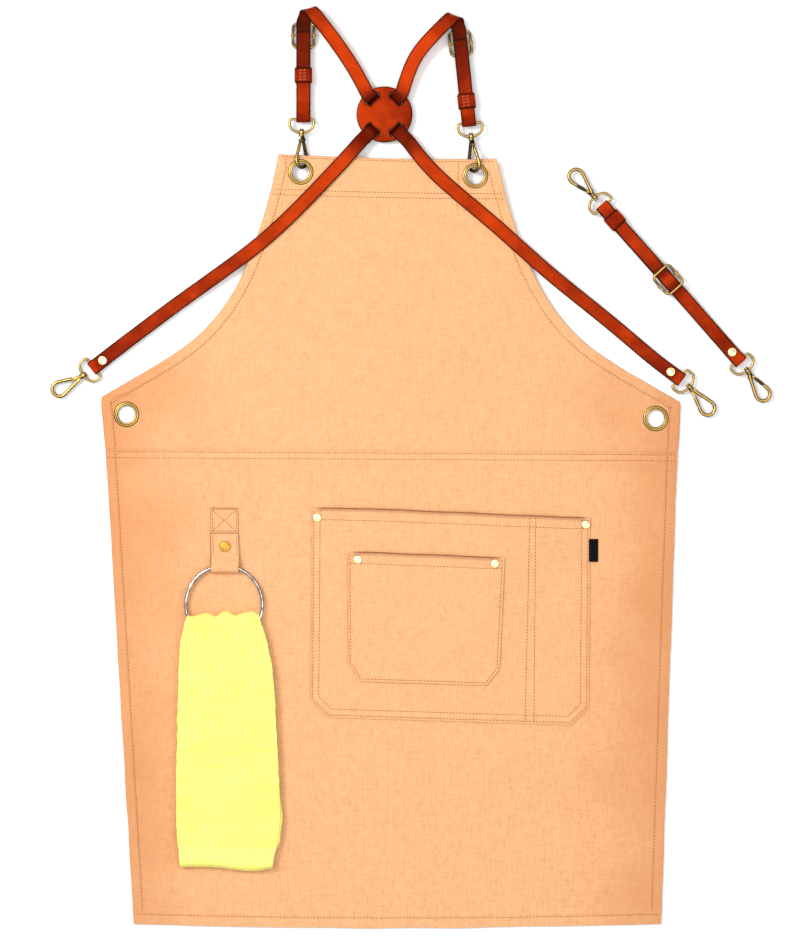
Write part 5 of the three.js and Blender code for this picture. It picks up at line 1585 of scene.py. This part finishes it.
def eyelets():
    tilt = Matrix.Rotation(atan2(BIB_TILT, 1), 4, "X")
    for name, (x, y) in EYELETS.items():
        flange = CLOTH + GAP
        low = -1.8 if name.endswith("bib") else -0.9
        bore, outer = EYELET_BORE, EYELET_FLANGE
        profile = [(bore + 0.5, low), (bore, low + 0.5), (bore, flange + 0.1), (bore + 0.25, flange + 0.62),
                   (bore + 0.7, flange + 0.95), (bore + 1.5, flange + 1.0), (bore + 1.9, flange + 0.75),
                   (bore + 2.2, flange + 0.55), (bore + 2.6, flange + 0.75), (bore + 3.0, flange + 0.86),
                   (outer - 1.0, flange + 0.66), (outer - 0.6, flange + 0.4), (outer, flange + 0.05),
                   (outer - 0.4, flange - 0.15), (bore + 0.7, flange - 0.1)]
        # painted shade: the bore, the groove and the outer rim of the flange are darkened through the shade
        # attribute
        shaded_tone = [1, 1, 1, 0.8, 0, 0, 0.9, 1, 0.9, 0, 0.1, 1, 1, 1, 1]
        shells = Shells()
        points, faces = lathe(profile, 64, closed=True)
        place = Matrix.Translation(vec(x, y, bib_z(y))) @ tilt
        shells.add(points, faces, place, shade=[value for value in shaded_tone for _ in range(64)])
        shells.make(name + "_eyelet_ring", BRASS, "apron", name + "_eyelet")
        high = -0.9 - GAP if name.endswith("bib") else -GAP
        back = [(bore + 0.9, high), (bore + 0.9, high - 0.55), (14.1, high - 0.6), (14.4, high - 0.35),
                (14.2, high)]
        shells = Shells()
        points, faces = lathe(back, 48, closed=True)
        shells.add(points, faces, place)
        shells.make(name + "_back_washer", BRASS, "apron", name + "_washer")


bib_cloth()
skirt_cloth()
eyelets()
pockets()
tab_and_ring()
towel()
harness()
extension()

# ---------------------------------------------------------------- table, lights and view


def area_light(name, place, aim, size, power, tint=(1, 1, 1)):
    data = bpy.data.lights.new(name, "AREA")
    data.shape, data.size, data.size_y, data.energy, data.color = "RECTANGLE", size[0], size[1], power, tint
    light = bpy.data.objects.new(name, data)
    light.location = place
    light.rotation_euler = (Vector(aim) - Vector(place)).to_track_quat("-Z", "Y").to_euler()
    scene.collection.objects.link(light)


def stage():
    mesh = bpy.data.meshes.new("table_top")
    size = 4.0
    mesh.from_pydata([(-size, -size, 0), (size, -size, 0), (size, size, 0), (-size, size, 0)], [],
                     [(0, 1, 2, 3)])
    table = bpy.data.objects.new("table_top", mesh)
    table.location.z = -0.0016
    scene.collection.objects.link(table)
    f = Finish("table_paper", roughness=0.9)
    f.set("Base Color", f.mix((250, 249, 248), (255, 254, 253), f.noise(300, 2)))
    mesh.materials.append(f.material)


stage()
middle = Vector((0.010, 0.079, 0.0))
area_light("key", (-1.3, 0.9, 2.0), middle, (0.8, 0.8), 36.5, (1.0, 0.985, 0.96))
area_light("fill", (1.5, -0.9, 2.4), middle, (1.4, 1.4), 14)
area_light("overhead", (0.0, 0.1, 2.9), middle, (1.9, 1.9), 28)
world = bpy.data.worlds.new("studio")
world.use_nodes = True
tree = world.node_tree
backdrop = tree.nodes["Background"]
backdrop.inputs[1].default_value = 0.61
ramp = tree.nodes.new("ShaderNodeValToRGB")
ramp.color_ramp.elements[0].position, ramp.color_ramp.elements[0].color = 0.04, (0.42, 0.41, 0.4, 1)
ramp.color_ramp.elements[1].position, ramp.color_ramp.elements[1].color = 0.85, (1, 1, 1, 1)
split = tree.nodes.new("ShaderNodeSeparateXYZ")
around = tree.nodes.new("ShaderNodeTexCoord")
tree.links.new(around.outputs["Generated"], split.inputs[0])
tree.links.new(split.outputs[2], ramp.inputs[0])
tree.links.new(ramp.outputs[0], backdrop.inputs[0])
scene.world = world
scene.view_settings.view_transform = "Standard"

lens = bpy.data.cameras.new("top_view")
lens.sensor_fit, lens.sensor_width = "HORIZONTAL", 36
distance = 4.0
lens.lens = 36 * distance / 0.9408
lens.clip_start, lens.clip_end = 0.05, 20
camera = bpy.data.objects.new("top_view", lens)
camera.location = middle + Vector((0, 0, distance))
scene.collection.objects.link(camera)
scene.camera = camera
